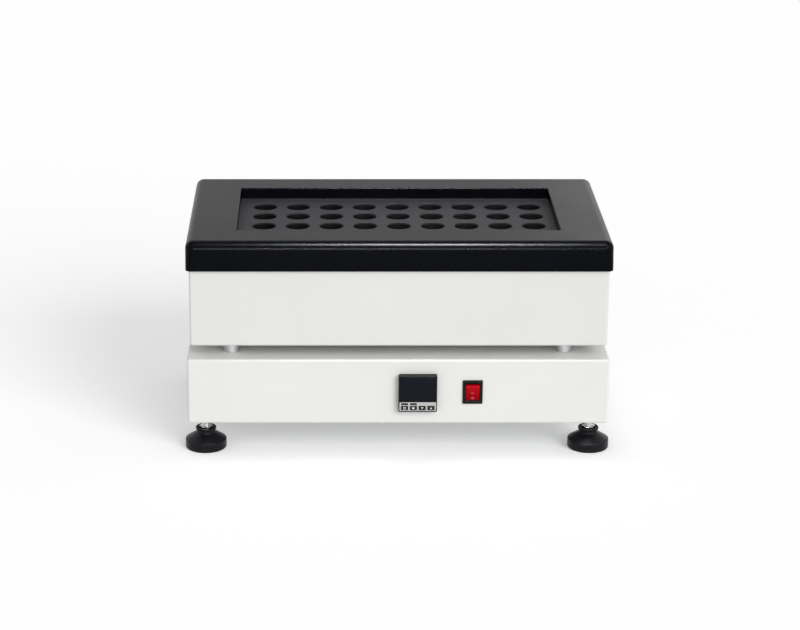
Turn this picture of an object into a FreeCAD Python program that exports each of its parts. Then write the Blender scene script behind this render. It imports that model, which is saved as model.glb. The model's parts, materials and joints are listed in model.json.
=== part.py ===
"""Block digester: a heated graphite block with wells, on a separate control base with levelling feet.

Units are millimetres. The origin is on the floor under the middle of the object.
+X is to the right, the front faces -Y and +Z is up.
"""

import FreeCAD, Part
import math
import os

Vec = FreeCAD.Vector
X_AXIS = Vec(1, 0, 0)
Y_AXIS = Vec(0, 1, 0)
Z_AXIS = Vec(0, 0, 1)

# ---------------------------------------------------------------- clearances
slip_gap = 0.3          # between pieces that move past each other
thread_gap = 0.1        # radial play of a thread, a shank or a running shaft
drop_in_gap = 0.25      # each side, a piece dropped into a cut-out
board_gap = 1.0         # each side, between the graphite block and its boards

# ---------------------------------------------------------------- wells in the graphite block
well_columns = 9
well_rows = 4
well_pitch = 43.0
well_r = 15.25
well_depth = 70.0       # right through the drilled block, down to the plate below it
well_shift_x = 2.5
well_shift_y = -5.0
well_mouth_chamfer = 1.0
well_margin_x = 14.75   # from the outer wells to the recess wall, were they centred
well_margin_y = 15.25

# ---------------------------------------------------------------- top frame
frame_border_x = 61.5
frame_border_y = 53.0
frame_skirt_h = 37.4
frame_edge_r = 10.0
frame_plate_t = 4.0
frame_skirt_t = 3.0
frame_inner_corner_r = 5.0
frame_rim_t = 3.0       # wall around the recess
frame_overhang = 4.0    # past the upper box, all round
opening_width = (well_columns - 1) * well_pitch + 2 * (well_r + well_margin_x)
opening_depth = (well_rows - 1) * well_pitch + 2 * (well_r + well_margin_y)
opening_corner_r = 2.0
recess_depth = 15.0
seal_t = 0.5
frame_width = opening_width + 2 * frame_border_x
frame_depth = opening_depth + 2 * frame_border_y

# ---------------------------------------------------------------- graphite block
block_lap = 3.0         # under the frame, past the recess wall
block_floor_t = 10.0    # plate that closes the wells from below
block_width = opening_width + 2 * (frame_rim_t + block_lap)
block_depth = opening_depth + 2 * (frame_rim_t + block_lap)

# ---------------------------------------------------------------- control base
base_ledge_x = 4.0      # how far the base stands out past the upper box
base_ledge_y = 6.0
base_width = frame_width - 2 * frame_overhang + 2 * base_ledge_x
base_depth = frame_depth - 2 * frame_overhang + 2 * base_ledge_y
base_floor_z = 42.2
base_height = 84.9
base_sheet = 1.5
base_bend_r = 3.0
base_top_z = base_floor_z + base_height
base_flange_w = 7.5     # inward flange that carries the bottom plate
pan_z = base_floor_z + base_sheet
pan_flange_h = 7.5      # upturned edge of the bottom plate
back_margin_x = 43.5    # sheet left around the opening in the back
back_margin_low = 13.8
back_margin_high = 11.1
back_opening_w = base_width - 2 * back_margin_x
back_opening_h = base_height - back_margin_low - back_margin_high
back_parts_z = base_floor_z + back_margin_low + back_opening_h / 2
back_panel_lap_x = 9.0  # how far the back panel reaches past its opening
back_panel_lap_z = 3.5

# ---------------------------------------------------------------- levelling feet
foot_inset_x = 21.0
foot_inset_y = 30.0
foot_pad_r = 26.0
foot_sole_r = 25.2
foot_sole_h = 1.2
foot_band_top_z = 12.5
foot_cone_top_z = 21.0
foot_collar_r = 13.0
foot_collar_top_z = 26.8
foot_recess_r = 10.0
foot_recess_depth = 6.5
foot_hex_flats = 15.0
foot_hex_h = 8.0
foot_pivot_r = 4.0
foot_pivot_depth = 11.0
foot_stud_r = 5.0
foot_stud_reach = 29.0  # above the base's underside
foot_stud_top_z = base_floor_z + foot_stud_reach
foot_stud_chamfer = 1.0
lock_nut_flats = 17.0
lock_nut_h = 6.0
weld_nut_r = 10.0
weld_nut_h = 8.0

# ---------------------------------------------------------------- pillars between the two boxes
pillar_gap = 16.0
pillar_r = 11.0
pillar_inset_x = 54.5
pillar_inset_y = 37.0
pillar_place_x = base_width / 2 - pillar_inset_x
pillar_place_y = base_depth / 2 - pillar_inset_y
pillar_bolt_r = 4.0
hex_bolt_flats = 13.0
hex_bolt_head_h = 5.0
pillar_nut_h = 6.5
bolt_end_extra = 2.0

# ---------------------------------------------------------------- upper box
upper_width = frame_width - 2 * frame_overhang
upper_depth = frame_depth - 2 * frame_overhang
upper_sheet = 1.5
upper_bend_r = 3.0
upper_flange_w = 14.0
upper_floor_t = 2.0
upper_bottom_z = base_top_z + pillar_gap
upper_floor_z = upper_bottom_z + upper_sheet
upper_floor_top_z = upper_floor_z + upper_floor_t

# ---------------------------------------------------------------- heater
heater_edge_x = 8.0     # block left uncovered around the heater
heater_edge_y = 7.0
heater_width = block_width - 2 * heater_edge_x
heater_depth = block_depth - 2 * heater_edge_y
heater_t = 4.0
clamp_plate_lap = 2.0   # past the heater, all round
clamp_plate_t = 3.0
clamp_screw_depth = 12.0
heater_hole_r = 12.0    # way through for the sensor and the leads, below the heater
probe_hole_r = 3.0      # way through the heater for the sensor alone

# ---------------------------------------------------------------- insulation and its tray
side_air_gap = 14.0     # between the tray and the upper box's wall
end_air_gap = 5.5
board_below_top = 2.0
floor_board_t = 20.0
tray_sheet = 1.0
spacer_h = 9.4
spacer_r = 6.0
spacer_bore_r = 2.2
spacer_inset_x = 84.0   # from the tray's sides
spacer_inset_y = 37.0

# ---------------------------------------------------------------- heights in the upper box, from the floor plate up
tray_bottom_z = upper_floor_top_z + spacer_h
floor_board_z = tray_bottom_z + tray_sheet
clamp_plate_z = floor_board_z + floor_board_t
heater_z = clamp_plate_z + clamp_plate_t
block_floor_z = heater_z + heater_t
block_bottom_z = block_floor_z + block_floor_t
block_top_z = block_bottom_z + well_depth
board_top_z = block_top_z - board_below_top
frame_top_z = block_top_z + recess_depth
frame_skirt_z = frame_top_z - frame_skirt_h
frame_underside_z = frame_top_z - frame_plate_t

# ---------------------------------------------------------------- lead conduit
conduit_r = 11.0
conduit_bore_r = 9.0
conduit_end = 7.0       # thread that stands past each sheet
conduit_nut_r = 16.0
conduit_nut_h = 4.0

# ---------------------------------------------------------------- sensor
sensor_r = 2.0
sensor_depth = 46.0     # in the drilled block
sensor_lead_r = 1.2

# ---------------------------------------------------------------- temperature controller
controller_x = 24.3
controller_height = 42.4  # of its middle, above the base's underside
controller_z = base_floor_z + controller_height
bezel_size = 48.0
bezel_depth = 8.0
bezel_corner_r = 1.6
bezel_front_r = 0.8
case_size = 44.6
case_depth = 78.0
window_width = 45.0
window_height = 32.0
window_t = 2.0
window_below_top = 2.4
key_strip_width = 45.6
key_strip_height = 11.5
key_strip_t = 1.0
key_strip_above_bottom = 1.6
key_count = 4
key_pitch = 11.0
key_width = 8.4
key_height = 5.4
key_above_strip = 1.2
key_proud = 0.6
key_travel = 0.6
key_lip = 0.6
key_lip_t = 1.0
controller_clamp_t = 4.0
controller_clamp_l = 22.0

# ---------------------------------------------------------------- mains rocker switch
switch_spacing = 68.6   # from the controller's middle
switch_height = 42.5
switch_x = controller_x + switch_spacing
switch_z = base_floor_z + switch_height
switch_bezel_w = 25.0
switch_bezel_h = 31.0
switch_bezel_t = 2.0
switch_corner_r = 1.2
switch_body_w = 21.6
switch_body_h = 27.6
switch_body_depth = 20.0
rocker_width = 17.4
rocker_height = 21.4
rocker_angle = 11.0     # each way from the middle
rocker_pivot_depth = 5.0  # behind the bezel's front
rocker_pin_r = 1.5
rocker_pin_l = 1.6
rocker_cavity_depth = 12.0
rocker_nose = 1.0       # bevel at each end of the paddle
rocker_keel = 3.0       # depth of the paddle behind its pivot
tab_width = 6.3
tab_t = 0.8
tab_l = 10.0
tab_place_x = 5.0
tab_place_z = 8.0

# ---------------------------------------------------------------- power inlet and fuse on the back
inlet_inset_x = 40.0    # from the end of the back opening
inlet_x = -(back_opening_w / 2 - inlet_inset_x)
inlet_flange_w = 50.0
inlet_flange_h = 28.0
inlet_flange_t = 3.0
inlet_body_w = 27.0
inlet_body_h = 20.0
inlet_body_depth = 20.0
inlet_cavity_w = 24.6
inlet_cavity_h = 16.6
inlet_cavity_depth = 16.5
inlet_corner_cut = 3.5
inlet_pin_w = 4.0
inlet_pin_t = 2.0
inlet_pin_spread = 7.0
inlet_pin_offset_z = 2.0
inlet_tab_l = 8.0
inlet_pin_below_rim = 2.0
inlet_screw_place = 20.0
fuse_spacing = 60.0     # from the inlet's middle
fuse_x = inlet_x + fuse_spacing
fuse_hole_r = 6.4
fuse_nose_r = 8.5
fuse_nose_h = 5.0
fuse_barrel_l = 32.0
fuse_bore_r = 4.2
fuse_cap_r = 6.8
fuse_cap_h = 4.8
fuse_plug_r = 3.9
fuse_plug_l = 7.0
fuse_slot_w = 1.2
fuse_slot_depth = 1.0
fuse_link_r = 2.6
fuse_link_l = 20.0
vent_columns = 14
vent_rows = 2
vent_pitch_x = 10.0
vent_slot_w = 4.0
vent_slot_h = 20.0
vent_pitch_z = 26.0
vent_centre_x = 120.0

# ---------------------------------------------------------------- power electronics on the bottom plate
heatsink_x = 120.0
heatsink_y = 40.0
heatsink_w = 100.0
heatsink_d = 90.0
heatsink_base_t = 5.0
heatsink_fin_h = 18.0
heatsink_fin_t = 2.0
heatsink_fin_count = 11
relay_w = 45.0
relay_d = 58.0
relay_h = 23.0
relay_step_h = 14.0
relay_step_d = 14.0
relay_screw_place_y = 23.5
strip_x = -150.0
strip_y = 20.0
strip_w = 60.0
strip_d = 22.0
strip_h = 16.0
strip_ways = 5
strip_wall_t = 2.0
strip_seat_h = 10.0
earth_inset_x = 38.5
earth_x = -(base_width / 2 - earth_inset_x)
earth_y = 60.0
earth_stud_r = 2.5
earth_stud_l = 18.0
earth_nut_flats = 8.0
earth_nut_h = 4.0

# ---------------------------------------------------------------- small screws
screw_r = 2.0
screw_head_r = 4.0
screw_head_h = 2.4
screw_slot_w = 1.0
screw_slot_depth = 1.0
screw_grip = 6.0
side_screw_place_y = 90.0
frame_screw_bite = 2.6

# ---------------------------------------------------------------- leads
mains_lead_r = 1.5
heater_lead_r = 1.6
heater_lead_side = 5.0  # each side of the conduit's middle
lead_exit = 24.0        # straight out of a terminal before the first bend
lead_drop = 40.0        # below the conduit, where the leads turn up into it
lead_step = 2.0         # between leads that leave one place side by side
neutral_turn = (-110.0, -30.0, 62.0)     # middle points of the long mains leads
neutral_dip = (40.0, -52.0, 58.0)
live_turn = (72.0, -40.0, 69.0)
strip_turn = (-40.0, -45.0, 101.0)


# ================================================================ helpers
def box(x0, x1, y0, y1, z0, z1):
    return Part.makeBox(x1 - x0, y1 - y0, z1 - z0, Vec(x0, y0, z0))


def slab(width, depth, z0, z1, x=0.0, y=0.0):
    """A box centred on x, y."""
    return box(x - width / 2, x + width / 2, y - depth / 2, y + depth / 2, z0, z1)


def plate_y(width, height, y0, y1, x, z):
    """A box that stands across Y, centred on x, z."""
    return box(x - width / 2, x + width / 2, y0, y1, z - height / 2, z + height / 2)


def rod(radius, length, x, y, z, axis=Z_AXIS):
    return Part.makeCylinder(radius, length, Vec(x, y, z), axis)


def ring(outer_r, inner_r, length, x, y, z, axis=Z_AXIS):
    return rod(outer_r, length, x, y, z, axis).cut(rod(inner_r, length, x, y, z, axis))


def hexagon(flats, height, x, y, z):
    corner_r = flats / math.sqrt(3)
    points = [
        Vec(x + corner_r * math.cos(math.radians(60 * k)), y + corner_r * math.sin(math.radians(60 * k)), z)
        for k in range(7)
    ]
    return Part.Face(Part.makePolygon(points)).extrude(Vec(0, 0, height))


def join(shapes):
    """Fuse touching shapes into one solid."""
    first = shapes[0]
    return first.multiFuse(shapes[1:]).removeSplitter() if len(shapes) > 1 else first


def group(shapes):
    """Keep separate solids together in one node."""
    return Part.makeCompound(shapes)


def vertical_edges(shape):
    return [e for e in shape.Edges if abs(e.tangentAt(e.FirstParameter).z) > 0.99 and len(e.Vertexes) == 2]


def edges_at_z(shape, z):
    return [e for e in shape.Edges if all(abs(v.Z - z) < 1e-6 for v in e.Vertexes)]


def edges_at_y(shape, y):
    return [e for e in shape.Edges if all(abs(v.Y - y) < 1e-6 for v in e.Vertexes)]


def edges_along_y(shape):
    return [e for e in shape.Edges if abs(e.tangentAt(e.FirstParameter).y) > 0.99]


def rounded_slab(width, depth, z0, z1, edge_r, *round_levels):
    """A slab with rounded upright edges and, at each level named, edges rounded to the same radius."""
    solid = slab(width, depth, z0, z1)
    edges = vertical_edges(solid)
    for z in round_levels:
        edges += edges_at_z(solid, z)
    return solid.makeFillet(edge_r, edges)


def four(place_x, place_y):
    return [(sx * place_x, sy * place_y) for sx in (-1, 1) for sy in (-1, 1)]


def slotted_screw(length, place, axis):
    """A cheese head screw, its head's seat at place and its shank along axis."""
    head = Part.makeCylinder(screw_head_r, screw_head_h, place, axis * -1)
    shank = Part.makeCylinder(screw_r, length, place, axis)
    screw = head.fuse(shank)
    slot = slab(2 * screw_head_r + 1, screw_slot_w, screw_head_h - screw_slot_depth, screw_head_h + 1)
    slot.Placement = FreeCAD.Placement(place, FreeCAD.Rotation(Z_AXIS, axis * -1))
    return screw.cut(slot)


def lead(points, radius):
    """A round lead along straight runs joined by tangent arcs."""
    points = [Vec(*p) for p in points]
    edges = []
    start = points[0]
    for before, corner, after in zip(points, points[1:], points[2:]):
        back = before - corner
        ahead = after - corner
        turn = math.pi - back.getAngle(ahead)
        setback = 0.45 * min(back.Length, ahead.Length)
        bend_r = setback / math.tan(turn / 2)
        back.normalize()
        ahead.normalize()
        arc_start = corner + back * setback
        arc_end = corner + ahead * setback
        middle_way = (back + ahead).normalize()
        middle = corner + middle_way * (bend_r / math.cos(turn / 2) - bend_r)
        edges.append(Part.makeLine(start, arc_start))
        edges.append(Part.Arc(arc_start, middle, arc_end).toShape())
        start = arc_end
        bend_radii.append(bend_r)
    edges.append(Part.makeLine(start, points[-1]))
    path = Part.Wire(edges)
    way = points[1] - points[0]
    section = Part.Wire([Part.makeCircle(radius, points[0], way)])
    solid = path.makePipeShell([section], True, True)
    shares.append(solid.Volume / (math.pi * radius**2 * path.Length))
    return solid


bend_radii = []
shares = []
nodes = {}


# ================================================================ levelling feet
base_front_y = -base_depth / 2
base_back_y = base_depth / 2
foot_places = {
    "fl": (-(base_width / 2 - foot_inset_x), base_front_y + foot_inset_y),
    "fr": (base_width / 2 - foot_inset_x, base_front_y + foot_inset_y),
    "rl": (-(base_width / 2 - foot_inset_x), base_back_y - foot_inset_y),
    "rr": (base_width / 2 - foot_inset_x, base_back_y - foot_inset_y),
}
foot_hex_z = foot_collar_top_z - foot_recess_depth + slip_gap


def foot_pad(x, y):
    """Moulded pad: bevelled sole, straight band, cone and a collar with a recess for the stud's hexagon."""
    outline = [
        (0, 0),
        (foot_sole_r, 0),
        (foot_pad_r, foot_sole_h),
        (foot_pad_r, foot_band_top_z),
        (foot_collar_r, foot_cone_top_z),
        (foot_collar_r, foot_collar_top_z),
        (0, foot_collar_top_z),
        (0, 0),
    ]
    face = Part.Face(Part.makePolygon([Vec(x + r, y, z) for r, z in outline]))
    pad = face.revolve(Vec(x, y, 0), Z_AXIS, 360)
    recess_z = foot_collar_top_z - foot_recess_depth
    pad = pad.cut(rod(foot_recess_r, foot_recess_depth, x, y, recess_z))
    pivot_depth = foot_pivot_depth + slip_gap
    return pad.cut(rod(foot_pivot_r + thread_gap, pivot_depth, x, y, recess_z - pivot_depth))


def foot_stud(x, y):
    """M10 stud with a hexagon to turn it by and a plain pivot that stands in the pad."""
    hexagon_top_z = foot_hex_z + foot_hex_h
    head = hexagon(foot_hex_flats, foot_hex_h, x, y, foot_hex_z)
    pivot = rod(foot_pivot_r, foot_pivot_depth, x, y, foot_hex_z - foot_pivot_depth)
    shank = rod(foot_stud_r, foot_stud_top_z - hexagon_top_z, x, y, hexagon_top_z)
    shank = shank.makeChamfer(foot_stud_chamfer, edges_at_z(shank, foot_stud_top_z))
    return join([head, pivot, shank])


for corner, (foot_x, foot_y) in foot_places.items():
    nodes["foot_pad_" + corner] = foot_pad(foot_x, foot_y)
    nodes["foot_stud_" + corner] = foot_stud(foot_x, foot_y)

nodes["foot_lock_nuts"] = group([
    hexagon(lock_nut_flats, lock_nut_h, x, y, pan_z - lock_nut_h)
    .cut(rod(foot_stud_r + thread_gap, lock_nut_h, x, y, pan_z - lock_nut_h))
    for x, y in foot_places.values()
])

# ================================================================ control base
base_inner_w = base_width - 2 * base_sheet
base_inner_d = base_depth - 2 * base_sheet
panel_front_y = base_front_y
panel_inner_y = base_front_y + base_sheet
back_inner_y = base_back_y - base_sheet
back_panel_y = back_inner_y - base_sheet
pan_top_z = pan_z + base_sheet
pan_w = base_inner_w - 2 * drop_in_gap
pan_d = base_inner_d - 2 * drop_in_gap
side_screw_z = pan_z + (pan_flange_h + base_sheet) / 2
conduit_x = well_shift_x - well_pitch / 2
conduit_y = well_shift_y
heatsink_top_z = pan_top_z + heatsink_fin_h + heatsink_base_t
relay_top_z = heatsink_top_z + relay_h


def base_shell():
    """Folded sheet box on an inward flange, with cut-outs for the controls and an opening in the back."""
    shell = rounded_slab(base_width, base_depth, base_floor_z, base_top_z, base_bend_r, base_floor_z, base_top_z)
    inner_top_z = base_top_z - base_sheet
    hollow = rounded_slab(base_inner_w, base_inner_d, pan_z, inner_top_z, base_bend_r - base_sheet, pan_z,
                          inner_top_z)
    shell = shell.cut(hollow)
    cuts = [
        slab(base_inner_w - 2 * base_flange_w, base_inner_d - 2 * base_flange_w, base_floor_z, pan_z),
        plate_y(case_size + 2 * drop_in_gap, case_size + 2 * drop_in_gap, panel_front_y, panel_inner_y,
                controller_x, controller_z),
        plate_y(switch_body_w + 2 * drop_in_gap, switch_body_h + 2 * drop_in_gap, panel_front_y,
                panel_inner_y, switch_x, switch_z),
        plate_y(back_opening_w, back_opening_h, back_inner_y, base_back_y, 0, back_parts_z),
        rod(conduit_r + thread_gap, base_sheet, conduit_x, conduit_y, base_top_z - base_sheet),
    ]
    cuts += [rod(pillar_bolt_r + thread_gap, base_sheet, x, y, base_top_z - base_sheet)
             for x, y in four(pillar_place_x, pillar_place_y)]
    cuts += [Part.makeCylinder(screw_r + thread_gap, base_sheet, place, axis)
             for place, axis in base_screw_places()]
    return shell.cut(group(cuts))


def base_screw_places():
    """Seat and direction of each screw in the base's outside: four in the sides and four in the back."""
    side = [(Vec(sx * base_width / 2, sy * side_screw_place_y, side_screw_z), Vec(-sx, 0, 0))
            for sx in (-1, 1) for sy in (-1, 1)]
    lap_x = back_opening_w / 2 + back_panel_lap_x / 2
    back = [(Vec(sx * lap_x, base_back_y, back_parts_z + sz * back_opening_h / 3), Vec(0, -1, 0))
            for sx in (-1, 1) for sz in (-1, 1)]
    return side + back


def bottom_plate():
    """Pan with upturned flanges and a welded nut above each foot."""
    pan = rounded_slab(pan_w, pan_d, pan_z, pan_z + pan_flange_h, base_bend_r - base_sheet, pan_z)
    pan = pan.cut(slab(pan_w - 2 * base_sheet, pan_d - 2 * base_sheet, pan_top_z, pan_z + pan_flange_h))
    nuts = [rod(weld_nut_r, weld_nut_h, x, y, pan_top_z) for x, y in foot_places.values()]
    pan = join([pan] + nuts)
    bores = [rod(foot_stud_r + thread_gap, base_sheet + weld_nut_h, x, y, pan_z)
             for x, y in foot_places.values()]
    bores += [Part.makeCylinder(screw_r + thread_gap, 3 * base_sheet, place, axis)
              for place, axis in base_screw_places()[:4]]
    bores.append(rod(earth_stud_r + thread_gap, base_sheet, earth_x, earth_y, pan_z))
    return pan.cut(group(bores))


def back_panel():
    """Plate behind the back opening, with the inlet, the fuse holder and the vent slots."""
    width = back_opening_w + 2 * back_panel_lap_x
    height = back_opening_h + 2 * back_panel_lap_z
    panel = plate_y(width, height, back_panel_y, back_inner_y, 0, back_parts_z)
    cuts = [
        plate_y(inlet_body_w + 2 * drop_in_gap, inlet_body_h + 2 * drop_in_gap, back_panel_y, back_inner_y,
                inlet_x, back_parts_z),
        rod(fuse_hole_r + thread_gap, base_sheet, fuse_x, back_panel_y, back_parts_z, Y_AXIS),
    ]
    cuts += [rod(screw_r + thread_gap, base_sheet, inlet_x + s * inlet_screw_place, back_panel_y,
                 back_parts_z, Y_AXIS) for s in (-1, 1)]
    cuts += [Part.makeCylinder(screw_r + thread_gap, 3 * base_sheet, place, axis)
             for place, axis in base_screw_places()[4:]]
    for column in range(vent_columns):
        for row in range(vent_rows):
            slot_x = vent_centre_x + (column - (vent_columns - 1) / 2) * vent_pitch_x
            slot_z = back_parts_z + (row - (vent_rows - 1) / 2) * vent_pitch_z
            straight = vent_slot_h - vent_slot_w
            cuts.append(plate_y(vent_slot_w, straight, back_panel_y, back_inner_y, slot_x, slot_z))
            cuts += [rod(vent_slot_w / 2, base_sheet, slot_x, back_panel_y, slot_z + s * straight / 2, Y_AXIS)
                     for s in (-1, 1)]
    return panel.cut(group(cuts))


nodes["base_shell"] = base_shell()
nodes["bottom_plate"] = bottom_plate()
nodes["back_panel"] = back_panel()
nodes["shell_screws"] = group([slotted_screw(screw_grip, place, axis) for place, axis in base_screw_places()])

# ================================================================ temperature controller
bezel_front_y = panel_front_y - bezel_depth
bezel_bottom_z = controller_z - bezel_size / 2
bezel_top_z = controller_z + bezel_size / 2
window_z = bezel_top_z - window_below_top - window_height / 2
key_strip_z = bezel_bottom_z + key_strip_above_bottom + key_strip_height / 2
key_z = key_strip_z - key_strip_height / 2 + key_above_strip + key_height / 2
key_back_y = bezel_front_y + key_strip_t + slip_gap + key_lip_t
key_pocket_y = key_back_y + key_travel + slip_gap


def key_x(number):
    return controller_x + (number - (key_count - 1) / 2) * key_pitch


def controller_bezel():
    """Moulded front frame with a pocket for the window, one for the key strip and one for the keys."""
    bezel = plate_y(bezel_size, bezel_size, bezel_front_y, panel_front_y, controller_x, controller_z)
    bezel = bezel.makeFillet(bezel_corner_r, edges_along_y(bezel))
    bezel = bezel.makeFillet(bezel_front_r, edges_at_y(bezel, bezel_front_y))
    window_pocket = plate_y(window_width, window_height, bezel_front_y, bezel_front_y + window_t,
                            controller_x, window_z)
    strip_pocket = plate_y(key_strip_width, key_strip_height, bezel_front_y, bezel_front_y + key_strip_t,
                           controller_x, key_strip_z)
    key_pocket = plate_y(key_count * key_pitch, key_height + 2 * (key_lip + slip_gap), bezel_front_y,
                         key_pocket_y, controller_x, key_z)
    return bezel.cut(window_pocket).cut(strip_pocket).cut(key_pocket)


def key_strip():
    strip = plate_y(key_strip_width, key_strip_height, bezel_front_y, bezel_front_y + key_strip_t,
                    controller_x, key_strip_z)
    holes = [plate_y(key_width + 2 * slip_gap, key_height + 2 * slip_gap, bezel_front_y,
                     bezel_front_y + key_strip_t, key_x(n), key_z) for n in range(key_count)]
    return strip.cut(group(holes))


def key(number):
    """A key cap with a lip behind the strip that keeps it in."""
    cap = plate_y(key_width, key_height, bezel_front_y - key_proud, key_back_y, key_x(number), key_z)
    lip = plate_y(key_width + 2 * key_lip, key_height + 2 * key_lip, key_back_y - key_lip_t, key_back_y,
                  key_x(number), key_z)
    return join([cap, lip])


def controller_case():
    case = plate_y(case_size, case_size, panel_front_y, panel_front_y + case_depth, controller_x, controller_z)
    return case.makeFillet(bezel_corner_r, edges_along_y(case))


def controller_clamp():
    """Square collar that slides along the case and presses on the inside of the panel."""
    outer = plate_y(case_size + 2 * controller_clamp_t, case_size + 2 * controller_clamp_t, panel_inner_y,
                    panel_inner_y + controller_clamp_l, controller_x, controller_z)
    return outer.cut(plate_y(case_size, case_size, panel_inner_y, panel_inner_y + controller_clamp_l,
                             controller_x, controller_z))


nodes["controller_bezel"] = controller_bezel()
nodes["controller_case"] = controller_case()
nodes["controller_clamp"] = controller_clamp()
nodes["display_window"] = plate_y(window_width, window_height, bezel_front_y, bezel_front_y + window_t,
                                  controller_x, window_z)
nodes["key_strip"] = key_strip()
for key_number in range(key_count):
    nodes["key_%d" % (key_number + 1)] = key(key_number)

# ================================================================ mains rocker switch
switch_front_y = panel_front_y - switch_bezel_t
rocker_pivot_y = switch_front_y + rocker_pivot_depth
rocker_tilt = math.radians(rocker_angle)
rocker_valley = rocker_pivot_depth - rocker_height / 4 * math.sin(rocker_tilt)
rocker_end = rocker_valley + rocker_height / 2 * math.tan(rocker_tilt)
rocker_sweep_r = math.hypot(rocker_height / 2, rocker_end - rocker_nose)
switch_back_y = panel_front_y + switch_body_depth


def switch_body():
    """Bezel and body in one, with a cavity for the rocker and two bearing holes."""
    bezel = plate_y(switch_bezel_w, switch_bezel_h, switch_front_y, panel_front_y, switch_x, switch_z)
    bezel = bezel.makeFillet(switch_corner_r, edges_along_y(bezel))
    body = plate_y(switch_body_w, switch_body_h, panel_front_y, switch_back_y, switch_x, switch_z)
    cavity = plate_y(rocker_width + 2 * slip_gap, 2 * (rocker_sweep_r + slip_gap), switch_front_y,
                     switch_front_y + rocker_cavity_depth, switch_x, switch_z)
    bearing_l = rocker_width + 2 * rocker_pin_l + 2 * slip_gap
    bearing = rod(rocker_pin_r + thread_gap, bearing_l, switch_x - bearing_l / 2, rocker_pivot_y, switch_z,
                  X_AXIS)
    return join([bezel, body]).cut(cavity).cut(bearing)


def rocker():
    """Paddle with two faces that meet in a shallow valley, tilted so that its lower end is pressed in."""
    half_h = rocker_height / 2
    side = [
        (-rocker_valley, 0),
        (-rocker_end, half_h - rocker_nose),
        (-rocker_end + rocker_nose, half_h),
        (0, half_h - rocker_nose),
        (rocker_keel, 0),
        (0, -half_h + rocker_nose),
        (-rocker_end + rocker_nose, -half_h),
        (-rocker_end, -half_h + rocker_nose),
        (-rocker_valley, 0),
    ]
    x0 = switch_x - rocker_width / 2
    points = [Vec(x0, rocker_pivot_y + y, switch_z + z) for y, z in side]
    paddle = Part.Face(Part.makePolygon(points)).extrude(Vec(rocker_width, 0, 0))
    pin_l = rocker_width + 2 * rocker_pin_l
    pin = rod(rocker_pin_r, pin_l, switch_x - pin_l / 2, rocker_pivot_y, switch_z, X_AXIS)
    solid = join([paddle, pin])
    solid.rotate(Vec(switch_x, rocker_pivot_y, switch_z), X_AXIS, rocker_angle)
    return solid


nodes["switch_body"] = switch_body()
nodes["rocker"] = rocker()
nodes["switch_tabs"] = group([
    plate_y(tab_width, tab_t, switch_back_y, switch_back_y + tab_l, switch_x + sx * tab_place_x,
            switch_z + sz * tab_place_z) for sx in (-1, 1) for sz in (-1, 1)
])

# ================================================================ power inlet and fuse
inlet_flange_y = back_inner_y + inlet_flange_t


def power_inlet():
    """Flanged three pin inlet with a socket whose upper corners are cut."""
    flange = plate_y(inlet_flange_w, inlet_flange_h, back_inner_y, inlet_flange_y, inlet_x, back_parts_z)
    flange = flange.makeFillet(inlet_corner_cut, edges_along_y(flange))
    body = plate_y(inlet_body_w, inlet_body_h, back_inner_y - inlet_body_depth, back_inner_y, inlet_x,
                   back_parts_z)
    half_w = inlet_cavity_w / 2
    half_h = inlet_cavity_h / 2
    outline = [
        (-half_w, -half_h),
        (half_w, -half_h),
        (half_w, half_h - inlet_corner_cut),
        (half_w - inlet_corner_cut, half_h),
        (-half_w + inlet_corner_cut, half_h),
        (-half_w, half_h - inlet_corner_cut),
        (-half_w, -half_h),
    ]
    points = [Vec(inlet_x + x, inlet_flange_y, back_parts_z + z) for x, z in outline]
    cavity = Part.Face(Part.makePolygon(points)).extrude(Vec(0, -inlet_cavity_depth, 0))
    holes = [rod(screw_r + thread_gap, inlet_flange_t, inlet_x + s * inlet_screw_place, back_inner_y,
                 back_parts_z, Y_AXIS) for s in (-1, 1)]
    pins = [inlet_pin(x, z) for x, z in inlet_pin_places()]
    return join([flange, body]).cut(cavity).cut(group(holes + pins))


def inlet_pin_places():
    return [
        (inlet_x - inlet_pin_spread, back_parts_z - inlet_pin_offset_z),
        (inlet_x, back_parts_z + inlet_pin_offset_z),
        (inlet_x + inlet_pin_spread, back_parts_z - inlet_pin_offset_z),
    ]


def inlet_pin(x, z):
    return plate_y(inlet_pin_t, inlet_pin_w, back_inner_y - inlet_body_depth - inlet_tab_l,
                   inlet_flange_y - inlet_pin_below_rim, x, z)


def fuse_holder():
    """Panel fuse holder: a nose outside and a barrel behind the panel."""
    nose = rod(fuse_nose_r, fuse_nose_h, fuse_x, back_inner_y, back_parts_z, Y_AXIS)
    barrel = rod(fuse_hole_r, fuse_barrel_l, fuse_x, back_inner_y - fuse_barrel_l, back_parts_z, Y_AXIS)
    bore_l = fuse_plug_l + fuse_link_l + slip_gap
    bore = rod(fuse_bore_r, bore_l, fuse_x, back_inner_y + fuse_nose_h - bore_l, back_parts_z, Y_AXIS)
    return join([nose, barrel]).cut(bore)


def fuse_cap():
    """Slotted bayonet cap with a plug that enters the holder's bore."""
    cap_y = back_inner_y + fuse_nose_h + slip_gap
    cap = rod(fuse_cap_r, fuse_cap_h, fuse_x, cap_y, back_parts_z, Y_AXIS)
    cap = cap.makeChamfer(fuse_slot_depth / 2, edges_at_y(cap, cap_y + fuse_cap_h))
    plug = rod(fuse_plug_r, fuse_plug_l, fuse_x, cap_y - fuse_plug_l, back_parts_z, Y_AXIS)
    slot = plate_y(2 * fuse_cap_r, fuse_slot_w, cap_y + fuse_cap_h - fuse_slot_depth, cap_y + fuse_cap_h,
                   fuse_x, back_parts_z)
    return join([cap, plug]).cut(slot)


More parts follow.
